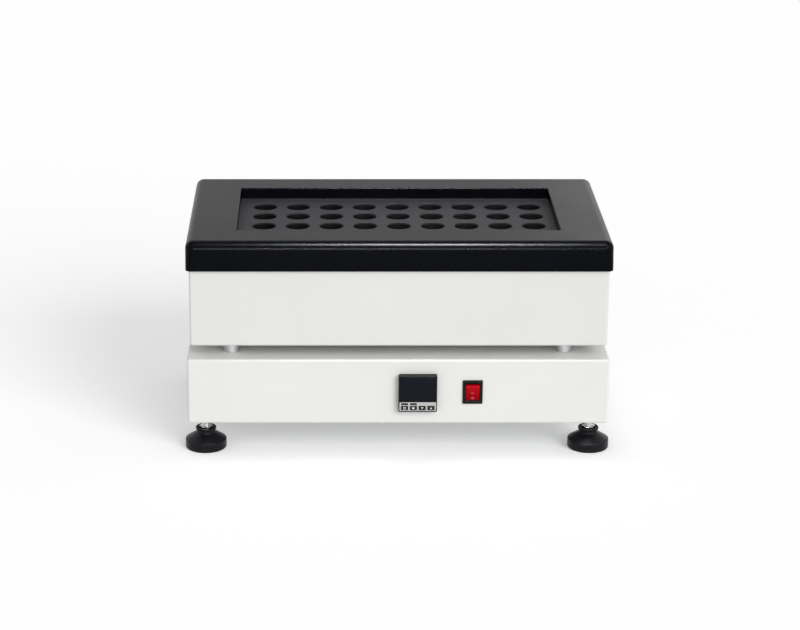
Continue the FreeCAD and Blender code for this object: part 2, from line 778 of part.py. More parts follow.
fuse_link_y = back_inner_y + fuse_nose_h - fuse_plug_l - fuse_link_l
nodes["power_inlet"] = power_inlet()
nodes["inlet_pins"] = group([inlet_pin(x, z) for x, z in inlet_pin_places()])
nodes["inlet_screws"] = group([
    slotted_screw(screw_grip, Vec(inlet_x + s * inlet_screw_place, inlet_flange_y, back_parts_z), Y_AXIS * -1)
    for s in (-1, 1)
])
nodes["fuse_holder"] = fuse_holder()
nodes["fuse_cap"] = fuse_cap()
nodes["fuse_link"] = rod(fuse_link_r, fuse_link_l, fuse_x, fuse_link_y, back_parts_z, Y_AXIS)

# ================================================================ power electronics
def relay_heatsink():
    """Base plate on upright fins that stand on the bottom plate."""
    fin_top_z = pan_top_z + heatsink_fin_h
    plate = slab(heatsink_w, heatsink_d, fin_top_z, heatsink_top_z, heatsink_x, heatsink_y)
    step = (heatsink_w - heatsink_fin_t) / (heatsink_fin_count - 1)
    fins = [slab(heatsink_fin_t, heatsink_d, pan_top_z, fin_top_z,
                 heatsink_x - (heatsink_w - heatsink_fin_t) / 2 + n * step, heatsink_y)
            for n in range(heatsink_fin_count)]
    holes = [rod(screw_r + thread_gap, heatsink_base_t, heatsink_x, heatsink_y + s * relay_screw_place_y,
                 fin_top_z) for s in (-1, 1)]
    return join([plate] + fins).cut(group(holes))


def solid_state_relay():
    """Relay block with a lower step at each end for its screws and terminals."""
    block = slab(relay_w, relay_d, heatsink_top_z, relay_top_z, heatsink_x, heatsink_y)
    step_z = relay_top_z - relay_step_h
    steps = [slab(relay_w, relay_step_d, step_z, relay_top_z, heatsink_x,
                  heatsink_y + s * (relay_d - relay_step_d) / 2) for s in (-1, 1)]
    holes = [rod(screw_r + thread_gap, relay_h, heatsink_x, heatsink_y + s * relay_screw_place_y,
                 heatsink_top_z) for s in (-1, 1)]
    return block.cut(group(steps + holes))


def terminal_strip():
    """Barrier strip: a bar with a wall between its ways."""
    bar = slab(strip_w, strip_d, pan_top_z, pan_top_z + strip_seat_h, strip_x, strip_y)
    step = (strip_w - strip_wall_t) / strip_ways
    walls = [slab(strip_wall_t, strip_d, pan_top_z, pan_top_z + strip_h,
                  strip_x - (strip_w - strip_wall_t) / 2 + n * step, strip_y) for n in range(strip_ways + 1)]
    return join([bar] + walls)


relay_step_z = relay_top_z - relay_step_h
nodes["relay_heatsink"] = relay_heatsink()
nodes["solid_state_relay"] = solid_state_relay()
nodes["relay_screws"] = group([
    slotted_screw(relay_h - relay_step_h + heatsink_base_t,
                  Vec(heatsink_x, heatsink_y + s * relay_screw_place_y, relay_step_z), Z_AXIS * -1)
    for s in (-1, 1)
])
nodes["terminal_strip"] = terminal_strip()
nodes["earth_stud"] = join([
    rod(earth_stud_r, earth_stud_l, earth_x, earth_y, pan_z),
    hexagon(earth_nut_flats, earth_nut_h, earth_x, earth_y, pan_top_z),
])

# ================================================================ pillars between the boxes
pillar_places = four(pillar_place_x, pillar_place_y)
pillar_nut_z = base_top_z - base_sheet - pillar_nut_h
pillar_end_z = pillar_nut_z - bolt_end_extra


def pillar_bolt(x, y):
    head = hexagon(hex_bolt_flats, hex_bolt_head_h, x, y, upper_floor_top_z)
    return join([head, rod(pillar_bolt_r, upper_floor_top_z - pillar_end_z, x, y, pillar_end_z)])


pillar_top_z = upper_floor_z
nodes["spacer_pillars"] = group([
    ring(pillar_r, pillar_bolt_r + thread_gap, pillar_top_z - base_top_z, x, y, base_top_z)
    for x, y in pillar_places
])
nodes["pillar_bolts"] = group([pillar_bolt(x, y) for x, y in pillar_places])
nodes["pillar_nuts"] = group([
    hexagon(hex_bolt_flats, pillar_nut_h, x, y, pillar_nut_z)
    .cut(rod(pillar_bolt_r + thread_gap, pillar_nut_h, x, y, pillar_nut_z)) for x, y in pillar_places
])

conduit_bottom_z = base_top_z - base_sheet - conduit_end
conduit_top_z = upper_floor_top_z + conduit_end
conduit_nut_places = [
    base_top_z - base_sheet - conduit_nut_h,
    base_top_z,
    upper_floor_z - conduit_nut_h,
    upper_floor_top_z,
]
nodes["lead_conduit"] = ring(conduit_r, conduit_bore_r, conduit_top_z - conduit_bottom_z, conduit_x, conduit_y,
                             conduit_bottom_z)
nodes["conduit_nuts"] = group([
    ring(conduit_nut_r, conduit_r, conduit_nut_h, conduit_x, conduit_y, z) for z in conduit_nut_places
])

# ================================================================ upper box
tray_width = upper_width - 2 * (upper_sheet + side_air_gap)
tray_depth = upper_depth - 2 * (upper_sheet + end_air_gap)
frame_screw_places = [(sx * (upper_width / 2 - upper_sheet - upper_flange_w / 2), sy * upper_depth / 4)
                      for sx in (-1, 1) for sy in (-1, 1)]
frame_screw_places += [(sx * upper_width / 4, sy * (upper_depth / 2 - upper_sheet - upper_flange_w / 2))
                       for sx in (-1, 1) for sy in (-1, 1)]


def upper_shell():
    """Folded sheet wall with an inward flange at its top and its bottom."""
    shell = rounded_slab(upper_width, upper_depth, upper_bottom_z, frame_underside_z, upper_bend_r,
                         upper_bottom_z, frame_underside_z)
    inner_w = upper_width - 2 * upper_sheet
    inner_d = upper_depth - 2 * upper_sheet
    inner_top_z = frame_underside_z - upper_sheet
    hollow = rounded_slab(inner_w, inner_d, upper_floor_z, inner_top_z, upper_bend_r - upper_sheet,
                          upper_floor_z, inner_top_z)
    mouth = slab(inner_w - 2 * upper_flange_w, inner_d - 2 * upper_flange_w, upper_bottom_z, frame_underside_z)
    holes = [rod(screw_r + thread_gap, upper_sheet, x, y, z) for x, y in frame_screw_places
             for z in (frame_underside_z - upper_sheet, upper_bottom_z)]
    return shell.cut(hollow).cut(mouth).cut(group(holes))


def upper_floor():
    """Plate on the shell's lower flange that carries everything in the upper box."""
    width = upper_width - 2 * upper_bend_r - 2 * drop_in_gap
    depth = upper_depth - 2 * upper_bend_r - 2 * drop_in_gap
    plate = slab(width, depth, upper_floor_z, upper_floor_top_z)
    holes = [rod(pillar_bolt_r + thread_gap, upper_floor_t, x, y, upper_floor_z) for x, y in pillar_places]
    holes += [rod(screw_r + thread_gap, upper_floor_t, x, y, upper_floor_z) for x, y in frame_screw_places]
    holes.append(rod(conduit_r + thread_gap, upper_floor_t, conduit_x, conduit_y, upper_floor_z))
    return plate.cut(group(holes))


def top_frame():
    """Pressed frame: rounded top, skirt over the upper box and a wall down to the block around the recess."""
    frame = rounded_slab(frame_width, frame_depth, frame_skirt_z, frame_top_z, frame_edge_r, frame_top_z)
    rim_z = block_top_z + seal_t
    hollow = rounded_slab(frame_width - 2 * frame_skirt_t, frame_depth - 2 * frame_skirt_t, frame_skirt_z,
                          frame_underside_z, frame_inner_corner_r)
    rim = slab(opening_width + 2 * frame_rim_t, opening_depth + 2 * frame_rim_t, rim_z, frame_underside_z)
    opening = rounded_slab(opening_width, opening_depth, frame_skirt_z, frame_top_z, opening_corner_r)
    holes = [rod(screw_r + thread_gap, frame_screw_bite, x, y, frame_underside_z) for x, y in frame_screw_places]
    return frame.cut(hollow.cut(rim)).cut(opening).cut(group(holes))


nodes["upper_shell"] = upper_shell()
nodes["upper_floor"] = upper_floor()
nodes["top_frame"] = top_frame()
nodes["upper_box_screws"] = group([
    slotted_screw(upper_sheet + frame_screw_bite, Vec(x, y, frame_underside_z - upper_sheet), Z_AXIS)
    for x, y in frame_screw_places
] + [
    slotted_screw(upper_sheet + upper_floor_t, Vec(x, y, upper_floor_top_z), Z_AXIS * -1)
    for x, y in frame_screw_places
])
nodes["block_seal"] = slab(
    opening_width + 2 * frame_rim_t, opening_depth + 2 * frame_rim_t, block_top_z, block_top_z + seal_t
).cut(rounded_slab(opening_width, opening_depth, block_top_z, block_top_z + seal_t, opening_corner_r))

# ================================================================ graphite block and heater
def well_places():
    return [(well_shift_x + (column - (well_columns - 1) / 2) * well_pitch,
             well_shift_y + (row - (well_rows - 1) / 2) * well_pitch)
            for row in range(well_rows) for column in range(well_columns)]


def graphite_block():
    """Block drilled right through for the tubes, and from below for the sensor and the clamp screws."""
    block = slab(block_width, block_depth, block_bottom_z, block_top_z)
    cuts = []
    for x, y in well_places():
        cuts.append(rod(well_r, well_depth, x, y, block_bottom_z))
        cuts.append(Part.makeCone(well_r, well_r + well_mouth_chamfer, well_mouth_chamfer,
                                  Vec(x, y, block_top_z - well_mouth_chamfer)))
    cuts.append(rod(sensor_r + thread_gap, sensor_depth, conduit_x, conduit_y, block_bottom_z))
    cuts += [rod(screw_r + thread_gap, clamp_screw_depth, x, y, block_bottom_z) for x, y in clamp_screw_places()]
    return block.cut(group(cuts))


def clamp_screw_places():
    """Each under the graphite in the middle of four wells."""
    half_field_x = (well_columns - 2) * well_pitch / 2
    return [(well_shift_x + sx * half_field_x, well_shift_y + sy * well_pitch)
            for sx in (-1, 1) for sy in (-1, 1)]


def flat_with_holes(width, depth, z, thickness, middle_r):
    """Flat piece under the block, open around the sensor and at each clamp screw."""
    plate = slab(width, depth, z, z + thickness)
    holes = [rod(middle_r, thickness, conduit_x, conduit_y, z)]
    holes += [rod(screw_r + thread_gap, thickness, x, y, z) for x, y in clamp_screw_places()]
    return plate.cut(group(holes))


nodes["graphite_block"] = graphite_block()
nodes["block_floor"] = flat_with_holes(block_width, block_depth, block_floor_z, block_floor_t,
                                       sensor_r + thread_gap)
nodes["heater_panel"] = flat_with_holes(heater_width, heater_depth, heater_z, heater_t, probe_hole_r)
nodes["heater_clamp_plate"] = flat_with_holes(
    heater_width + 2 * clamp_plate_lap, heater_depth + 2 * clamp_plate_lap, clamp_plate_z, clamp_plate_t,
    heater_hole_r)
nodes["clamp_screws"] = group([
    slotted_screw(clamp_plate_t + heater_t + block_floor_t + clamp_screw_depth, Vec(x, y, clamp_plate_z), Z_AXIS)
    for x, y in clamp_screw_places()
])

# ================================================================ insulation
end_board_w = block_width + 2 * board_gap
end_board_inner = block_depth + 2 * board_gap
side_board_t = (tray_width - 2 * tray_sheet - end_board_w) / 2
end_board_t = (tray_depth - 2 * tray_sheet - end_board_inner) / 2
side_board_x = (end_board_w + side_board_t) / 2
end_board_y = (end_board_inner + end_board_t) / 2


def floor_board():
    """Board under the heater, open for the leads and for the clamp screws' heads."""
    board = slab(tray_width - 2 * tray_sheet, tray_depth - 2 * tray_sheet, floor_board_z, clamp_plate_z)
    holes = [rod(heater_hole_r, floor_board_t, conduit_x, conduit_y, floor_board_z)]
    holes += [rod(screw_head_r + thread_gap, screw_head_h, x, y, clamp_plate_z - screw_head_h)
              for x, y in clamp_screw_places()]
    return board.cut(group(holes))


def inner_tray():
    tray = slab(tray_width, tray_depth, tray_bottom_z, board_top_z)
    tray = tray.cut(slab(tray_width - 2 * tray_sheet, tray_depth - 2 * tray_sheet, floor_board_z, board_top_z))
    return tray.cut(rod(heater_hole_r, tray_sheet, conduit_x, conduit_y, tray_bottom_z))


nodes["floor_board"] = floor_board()
nodes["side_boards"] = group([
    slab(side_board_t, tray_depth - 2 * tray_sheet, clamp_plate_z, board_top_z, s * side_board_x, 0)
    for s in (-1, 1)
])
nodes["end_boards"] = group([
    slab(end_board_w, end_board_t, clamp_plate_z, board_top_z, 0, s * end_board_y) for s in (-1, 1)
])
nodes["inner_tray"] = inner_tray()
nodes["tray_spacers"] = group([
    ring(spacer_r, spacer_bore_r, spacer_h, x, y, upper_floor_top_z)
    for x, y in four(tray_width / 2 - spacer_inset_x, tray_depth / 2 - spacer_inset_y)
])

# ================================================================ sensor and leads
sensor_tip_z = block_bottom_z + sensor_depth - slip_gap
sensor_foot_z = clamp_plate_z
nodes["temperature_probe"] = rod(sensor_r, sensor_tip_z - sensor_foot_z, conduit_x, conduit_y, sensor_foot_z)

controller_back_y = panel_front_y + case_depth
relay_face_y = heatsink_y - relay_d / 2 + relay_step_d
relay_lead_z = relay_top_z - relay_step_h / 2
strip_way = (strip_w - strip_wall_t) / strip_ways
strip_seat_z = pan_top_z + strip_seat_h
switch_tab_y = switch_back_y + tab_l
inlet_tab_y = back_inner_y - inlet_body_depth - inlet_tab_l
fuse_end_y = back_inner_y - fuse_barrel_l
left_tab_x = switch_x - tab_place_x
right_tab_x = switch_x + tab_place_x
low_tab_z = switch_z - tab_place_z
high_tab_z = switch_z + tab_place_z
earth_top_z = pan_z + earth_stud_l
lead_floor_z = conduit_bottom_z - lead_drop

nodes["sensor_lead"] = lead([
    (controller_x, controller_back_y, controller_z),
    (controller_x, controller_back_y + lead_exit, controller_z),
    (conduit_x, conduit_y, lead_floor_z - lead_step),
    (conduit_x, conduit_y, sensor_foot_z),
], sensor_lead_r)
nodes["heater_leads"] = group([
    lead([
        (heatsink_x - relay_w / 4, relay_face_y, relay_lead_z),
        (heatsink_x - relay_w / 4, conduit_y, relay_lead_z),
        (conduit_x + heater_lead_side, conduit_y, lead_floor_z),
        (conduit_x + heater_lead_side, conduit_y, heater_z),
    ], heater_lead_r),
    lead([
        (strip_x + strip_way, strip_y, strip_seat_z),
        (strip_x + strip_way, strip_y, lead_floor_z),
        (conduit_x - heater_lead_side, conduit_y, lead_floor_z),
        (conduit_x - heater_lead_side, conduit_y, heater_z),
    ], heater_lead_r),
])


def mains_leads():
    """Inlet to fuse, fuse and neutral to the switch, switch to relay and strip, and the earth."""
    live_pin, earth_pin, neutral_pin = [inlet_pin_places()[n] for n in (2, 1, 0)]
    fuse_upper_z = back_parts_z + lead_step
    fuse_lower_z = back_parts_z - lead_step
    inlet_to_fuse = [
        (live_pin[0], inlet_tab_y, live_pin[1]),
        (live_pin[0], inlet_tab_y - lead_exit, live_pin[1]),
        (fuse_x - lead_step, fuse_end_y - lead_exit, fuse_upper_z),
        (fuse_x - lead_step, fuse_end_y, fuse_upper_z),
    ]
    fuse_to_switch = [
        (fuse_x + lead_step, fuse_end_y, fuse_lower_z),
        (fuse_x + lead_step, fuse_end_y - lead_exit, fuse_lower_z),
        live_turn,
        (right_tab_x, switch_tab_y + lead_exit, low_tab_z),
        (right_tab_x, switch_tab_y, low_tab_z),
    ]
    neutral_to_switch = [
        (neutral_pin[0], inlet_tab_y, neutral_pin[1]),
        (neutral_pin[0], inlet_tab_y - 2 * lead_exit, neutral_pin[1]),
        neutral_turn,
        neutral_dip,
        (left_tab_x, switch_tab_y + lead_exit, low_tab_z),
        (left_tab_x, switch_tab_y, low_tab_z),
    ]
    switch_to_relay = [
        (right_tab_x, switch_tab_y, high_tab_z),
        (right_tab_x, switch_tab_y + lead_exit, high_tab_z),
        (heatsink_x + relay_w / 4, relay_face_y - lead_exit, relay_lead_z),
        (heatsink_x + relay_w / 4, relay_face_y, relay_lead_z),
    ]
    switch_to_strip = [
        (left_tab_x, switch_tab_y, high_tab_z),
        (left_tab_x, switch_tab_y + 2.5 * lead_exit, high_tab_z),
        strip_turn,
        (strip_x - strip_way, strip_y, high_tab_z),
        (strip_x - strip_way, strip_y, strip_seat_z),
    ]
    earth_to_stud = [
        (earth_pin[0], inlet_tab_y, earth_pin[1]),
        (earth_pin[0], inlet_tab_y - lead_exit, earth_pin[1]),
        (earth_x, earth_y, earth_top_z + lead_exit),
        (earth_x, earth_y, earth_top_z),
    ]
    routes = [inlet_to_fuse, fuse_to_switch, neutral_to_switch, switch_to_relay, switch_to_strip, earth_to_stud]
    return group([lead(route, mains_lead_r) for route in routes])


nodes["mains_leads"] = mains_leads()

for node_name, shape in nodes.items():
    print(node_name, len(shape.Solids), round(sum(s.Volume for s in shape.Solids)), shape.isValid())
print("tightest lead bend %.1f mm, volume share %.4f to %.4f" % (min(bend_radii), min(shares), max(shares)))

os.makedirs("parts", exist_ok=True)
for node_name, shape in nodes.items():
    shape.exportStep("parts/" + node_name + ".step")
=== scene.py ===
"""Looks of the block digester: detailed pieces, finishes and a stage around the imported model."""

import json
from math import cos, pi, radians, sin, tan

import bmesh
import bpy
import numpy as np
from bpy.props import FloatProperty, FloatVectorProperty, PointerProperty
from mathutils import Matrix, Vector


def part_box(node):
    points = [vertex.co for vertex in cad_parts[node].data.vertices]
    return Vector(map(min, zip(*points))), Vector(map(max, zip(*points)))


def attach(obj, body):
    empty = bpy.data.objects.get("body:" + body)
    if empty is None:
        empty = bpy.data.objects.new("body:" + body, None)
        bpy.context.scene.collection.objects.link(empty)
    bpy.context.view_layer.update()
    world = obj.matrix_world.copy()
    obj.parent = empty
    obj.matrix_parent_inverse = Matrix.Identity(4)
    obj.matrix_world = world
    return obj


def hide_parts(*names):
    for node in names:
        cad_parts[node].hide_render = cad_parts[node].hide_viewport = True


bl_info = {
    "name": "Block digester looks",
    "version": (1, 0, 0),
    "blender": (4, 5, 0),
    "location": "View3D > Sidebar > Digester",
    "description": "Detailed pieces, finishes and a stage around the packed block digester",
    "category": "Object",
}

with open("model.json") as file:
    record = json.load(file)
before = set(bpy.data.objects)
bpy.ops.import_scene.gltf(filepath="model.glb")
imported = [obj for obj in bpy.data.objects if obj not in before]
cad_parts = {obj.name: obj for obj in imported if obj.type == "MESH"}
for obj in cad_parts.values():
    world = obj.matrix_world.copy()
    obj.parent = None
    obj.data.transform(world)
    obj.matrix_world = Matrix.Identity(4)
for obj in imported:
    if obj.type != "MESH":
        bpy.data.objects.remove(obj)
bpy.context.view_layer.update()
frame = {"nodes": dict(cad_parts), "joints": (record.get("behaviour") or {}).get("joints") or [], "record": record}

MM = 0.001
MICRON = 0.000001
FEET = ("fl", "fr", "rl", "rr")
KEYS = ("key_1", "key_2", "key_3", "key_4")
SQUARE = np.array([(-1, -1), (1, -1), (1, 1), (-1, 1)])
ARC_STEPS = 8           # straight pieces in a rounded corner
HOLD = 0.3 * MM         # straight kept next to a rounding, so that flats shade flat
NEAR = 1 * MICRON       # points closer than this are one point
FINISHES = {}


# ---- sizes and colours
def number(name, description, default, **options):
    """A value from zero up."""
    return FloatProperty(name=name, description=description, default=default, min=0.0, **options)


def length(name, description, default):
    """A size in metres."""
    return number(name, description, default, unit="LENGTH", precision=5)


def angle(name, description, degrees):
    """An angle, given in degrees and kept in radians."""
    return FloatProperty(name=name, description=description, default=radians(degrees), unit="ROTATION")


def colour(name, description, default):
    """A colour in linear red, green and blue."""
    return FloatVectorProperty(name=name, description=description, default=default, subtype="COLOR", min=0.0,
                               max=1.0)


class DigesterSizes(bpy.types.PropertyGroup):
    border_x: length("Frame border, sides", "Top of the frame left and right of the recess", 0.0615)
    border_y: length("Frame border, front", "Top of the frame in front of and behind the recess", 0.053)
    edge_round: length("Frame edge", "Rounding of the frame's outer edge", 0.01)
    corner_top: length("Frame corner, top", "Rounding in plan at the frame's top", 0.0107)
    corner_low: length("Frame corner, skirt", "Rounding in plan at the skirt's edge", 0.0065)
    corner_ease: length("Frame corner ease", "Height over which one rounding becomes the other", 0.026)
    recess_corner: length("Recess corner", "Rounding of the recess in plan", 0.002)
    recess_edge: length("Recess edge", "Rounding where the top turns into the recess", 0.0012)
    recess_depth: length("Recess depth", "From the frame's top to the seal on the block", 0.0145)
    frame_wall: length("Frame wall", "Thickness of the frame's skirt and of the wall round the recess", 0.003)
    frame_plate: length("Frame plate", "Thickness of the frame's top", 0.004)
    well_mouth: length("Well mouth", "Rounding of each well's mouth", 0.001)
    pillar_radius: length("Pillar radius", "Outer radius of a pillar", 0.011)
    pillar_bore: length("Pillar bore", "Radius of the bore through a pillar", 0.0041)
    turned_edge: length("Turned edge", "Rounding of turned edges", 0.0005)
    pad_sole: length("Pad sole", "Radius of a foot's sole", 0.0252)
    pad_band: length("Pad band", "Height of the straight band round a foot's pad", 0.0114)
    pad_neck: length("Pad neck", "Radius of the waist between a foot's cone and its collar", 0.0117)
    collar_radius: length("Collar radius", "Outer radius of the collar round a foot's hexagon", 0.013)
    collar_bore: length("Collar bore", "Radius inside the collar", 0.01)
    stud_radius: length("Stud radius", "Radius of a foot's thread", 0.005)
    hex_flats: length("Stud hexagon", "Width across the flats of a stud's hexagon", 0.015)
    nut_flats: length("Lock nut", "Width across the flats of a lock nut", 0.017)
    thread_pitch: length("Foot thread pitch", "Rise of a foot's thread in one turn", 0.0015)
    thread_depth: length("Foot thread depth", "From crest to root of a foot's thread", 0.0009)
    window_edge: length("Window edge", "Rounding of the display window", 0.0004)
    key_edge: length("Key edge", "Rounding of a key's top", 0.0006)
    key_lip: length("Key lip", "How far a key's lip reaches past its cap", 0.0006)
    label_width: length("Label width", "Width of a dark field above a key", 0.0084)
    label_height: length("Label height", "Height of a dark field above a key", 0.0026)
    label_place: length("Label place", "From the bezel's lower edge to the middle of the dark fields", 0.0107)
    rocker_width: length("Rocker width", "Width of the mains rocker", 0.0174)
    rocker_hollow: length("Rocker hollow", "How far each face of the rocker is dished", 0.0004)
    mark_height: length("Mark height", "How far printed marks stand up", 0.00004)
    paint_grain: length("Paint grain", "Size of the ripple in a powder coat", 0.0016)
    mould_grain: length("Moulding grain", "Size of the texture on black mouldings", 0.0007)


class DigesterColours(bpy.types.PropertyGroup):
    # painted shade: the upper box's white coat is set darker than the base's, so the upper box renders darker than
    # the base
    shaded_upper_coat: colour("Upper coat", "Powder coat of the upper box", (0.735, 0.74, 0.705))
    base_coat: colour("Base coat", "Powder coat of the control base", (0.775, 0.775, 0.755))
    black_coat: colour("Black coat", "Paint of the top frame", (0.0006, 0.0011, 0.0032))
    graphite: colour("Graphite", "Block and its floor", (0.046, 0.043, 0.05))
    steel: colour("Bright steel", "Studs and nuts of the feet, conduit and probe", (0.72, 0.72, 0.73))
    satin: colour("Satin steel", "Pillars between the boxes", (0.58, 0.59, 0.6))
    zinc: colour("Zinc", "Plated sheet and screws", (0.58, 0.59, 0.6))
    stainless: colour("Stainless", "Inner tray and clamp plate", (0.6, 0.59, 0.57))
    moulding: colour("Black moulding", "Controller, switch and back fittings", (0.009, 0.008, 0.009))
    foot: colour("Foot", "Levelling pads", (0.006, 0.006, 0.009))
    window: colour("Window", "Display window", (0.004, 0.006, 0.011))
    strip: colour("Key strip", "Plate around the keys", (0.49, 0.495, 0.49))
    key: colour("Key", "Key caps", (0.013, 0.013, 0.016))
    mark: colour("Mark", "Printed marks", (0.7, 0.7, 0.68))
    rocker: colour("Rocker", "Rocker of the mains switch", (0.62, 0.002, 0.012))
    rocker_mark: colour("Rocker mark", "The two marks on the rocker", (0.5, 0.11, 0.11))
    mica: colour("Mica", "Heater panel", (0.34, 0.29, 0.2))
    fibre: colour("Fibre board", "Insulation boards", (0.8, 0.78, 0.71))
    silicone: colour("Silicone", "Seal around the block", (0.03, 0.03, 0.03))
    brass: colour("Brass", "Contacts and the earth stud", (0.72, 0.5, 0.2))
    aluminium: colour("Aluminium", "Heat sink and tray spacers", (0.72, 0.73, 0.74))
    relay: colour("Relay", "Relay and terminal strip", (0.62, 0.6, 0.54))
    glass: colour("Glass", "Fuse link", (0.85, 0.9, 0.9))
    braid: colour("Braid", "Sleeves of the leads", (0.6, 0.57, 0.5))


class DigesterStage(bpy.types.PropertyGroup):
    floor_radius: length("Floor radius", "Radius of the floor", 9.0)
    floor: colour("Floor", "Colour of the floor", (0.93, 0.93, 0.93))
    floor_lift: number("Floor lift", "Light added to the floor where the camera sees it", 0.23)
    fill: number("Fill", "Strength of the surrounding light", 0.57)
    key_light: number("Key light", "Strength of the soft light from the front and right", 1.75)
    key_spread: angle("Key light spread", "How wide the soft light looks", 36.0)
    softbox: number("Softbox", "Power of the lamp above, which only gives the bright line on the frame", 4.0)
    low_strip: number("Low strip", "Power of the lamp in front, which gives the faint line below", 0.55)
    rear_lamp: number("Rear lamp", "Power of the lamp behind, which only gives sheen on the frame's top", 0.4)
    lens: length("Lens", "Focal length of the camera", 0.10779)


# ---- surfaces
def grid_faces(rows, columns, close_rows=False):
    """Quads between neighbours of a grid whose points are numbered row by row. Each row closes on itself."""
    row, column = np.meshgrid(np.arange(rows if close_rows else rows - 1), np.arange(columns), indexing="ij")
    next_row, next_column = (row + 1) % rows, (column + 1) % columns
    return np.stack([row * columns + column, row * columns + next_column,
                     next_row * columns + next_column, next_row * columns + column], axis=-1).reshape(-1, 4)


def outward(points, faces):
    """Turn the faces round if the volume they enclose, a sixth of the sum of triple products, is negative."""
    a, b, c, d = (points[faces[:, k]] for k in range(4))
    volume = (a * np.cross(b, c)).sum() + (a * np.cross(c, d)).sum()
    return points, faces if volume > 0 else faces[:, ::-1]


def loft(rings, close_rows=False):
    """A closed part from rings of points, rows by columns by three."""
    rows, columns = rings.shape[:2]
    return outward(rings.reshape(-1, 3), grid_faces(rows, columns, close_rows))


def capped(rings):
    """The rings with the middle point of the first and of the last one added, so that both ends close."""
    ends = [np.broadcast_to(rings[k].mean(axis=0), rings[k].shape)[None] for k in (0, -1)]
    return np.concatenate([ends[0], rings, ends[1]])


def rounded_rings(half_x, half_y, corner_r, level, steps=ARC_STEPS):
    """Rounded rectangles, one for each entry of the arrays. A point is the corner's centre plus the corner
    radius times a unit vector that turns by a right angle in each corner, with one more point on the straight
    at each end."""
    sizes = np.broadcast_arrays(*map(np.atleast_1d, (half_x, half_y, corner_r, level)))
    half_x, half_y, corner_r, level = (np.asarray(size, float)[:, None] for size in sizes)
    turn = np.repeat(np.arange(4) * pi / 2, steps + 3)
    sweep = np.concatenate([[0.0], np.linspace(0, pi / 2, steps + 1), [pi / 2]])
    heading = turn + np.tile(sweep, 4)
    along = np.tile(np.concatenate([[-1.0], np.zeros(steps + 1), [1.0]]), 4)
    side_x, side_y = np.sign(np.cos(turn + pi / 4)), np.sign(np.sin(turn + pi / 4))
    unit_x, unit_y = np.cos(heading), np.sin(heading)
    flat_x, flat_y = half_x - corner_r, half_y - corner_r
    step = along * np.minimum(HOLD, (np.abs(unit_y) * flat_x + np.abs(unit_x) * flat_y) / 2)
    x = side_x * flat_x + corner_r * unit_x - step * unit_y
    y = side_y * flat_y + corner_r * unit_y + step * unit_x
    return np.stack([x, y, np.broadcast_to(level, x.shape)], axis=-1)


def round_path(corners, radii, closed=False, steps=6):
    """Path through the corners, each an arc about the centre on its bisector: the two radius vectors are
    blended by the sines of the angle left to each, and a point stands on the straight at each end of the
    arc."""
    corners, radii = np.asarray(corners, float), np.asarray(radii, float)
    at = corners if closed else corners[1:-1]
    back = (np.roll(corners, 1, 0) if closed else corners[:-2]) - at
    ahead = (np.roll(corners, -1, 0) if closed else corners[2:]) - at
    run = np.minimum(np.linalg.norm(back, axis=1), np.linalg.norm(ahead, axis=1))[:, None]
    back /= np.linalg.norm(back, axis=1)[:, None]
    ahead /= np.linalg.norm(ahead, axis=1)[:, None]
    half = np.arccos(np.clip((back * ahead).sum(axis=1), -1, 1))[:, None] / 2
    radius = (radii if closed else radii[1:-1])[:, None]
    setback = radius / np.tan(half)
    middle = (back + ahead) / np.linalg.norm(back + ahead, axis=1)[:, None] * radius / np.sin(half)
    share = np.linspace(0, 1, steps + 1)[None, :, None]
    sweep = (pi - 2 * half)[:, None]
    start, end = (back * setback - middle)[:, None], (ahead * setback - middle)[:, None]
    blend = (np.sin((1 - share) * sweep) * start + np.sin(share * sweep) * end) / np.sin(sweep)
    arc = (at + middle)[:, None] + blend
    lead_in = (at + back * (setback + np.minimum(HOLD, run / 8)))[:, None]
    lead_out = (at + ahead * (setback + np.minimum(HOLD, run / 8)))[:, None]
    path = np.concatenate([lead_in, arc, lead_out], axis=1).reshape(-1, 2)
    return path if closed else np.concatenate([corners[:1], path, corners[-1:]])


def full_turn(steps):
    """Headings at even steps all the way round."""
    return np.linspace(0, 2 * pi, steps, endpoint=False)


def around(radius, heading, level, centre):
    """Points at a radius from the vertical axis through centre, by the cosine and sine of their heading."""
    return np.stack([centre[0] + radius * np.cos(heading), centre[1] + radius * np.sin(heading),
                     np.broadcast_to(level, radius.shape)], axis=-1)


def turned(path, centre, steps=64):
    """The path's radius and height carried round the vertical axis through centre."""
    radius = np.broadcast_to(path[:, :1], (len(path), steps))
    return around(radius, full_turn(steps), path[:, 1:] + centre[2], centre)


def hexagon_rings(flats, height, bore, centre, steps=96, levels=9, bevel_share=0.12, face_share=0.475):
    """A chamfered nut or head. At each height the radius is the lesser of the hexagon's, half the flats over
    the cosine of the angle from a side's middle, and of a 30 degree cone's at either end, which starts at
    face_share of the flats. It closes along a bore, or at the axis where the bore is nothing."""
    bevel = bevel_share * flats
    level = np.concatenate([np.linspace(0, bevel, levels), np.linspace(height - bevel, height, levels)])
    heading = full_turn(steps)
    cone = face_share * flats + np.minimum(level, height - level) / tan(radians(30))
    radius = np.minimum(flats / 2 / np.cos(np.mod(heading, pi / 3) - pi / 6), cone[:, None])
    radius = np.concatenate([np.full((1, steps), bore), radius, np.full((1, steps), bore)])
    level = np.concatenate([[0.0], level, [height]])[:, None]
    return around(radius, heading, centre[2] + level, centre)


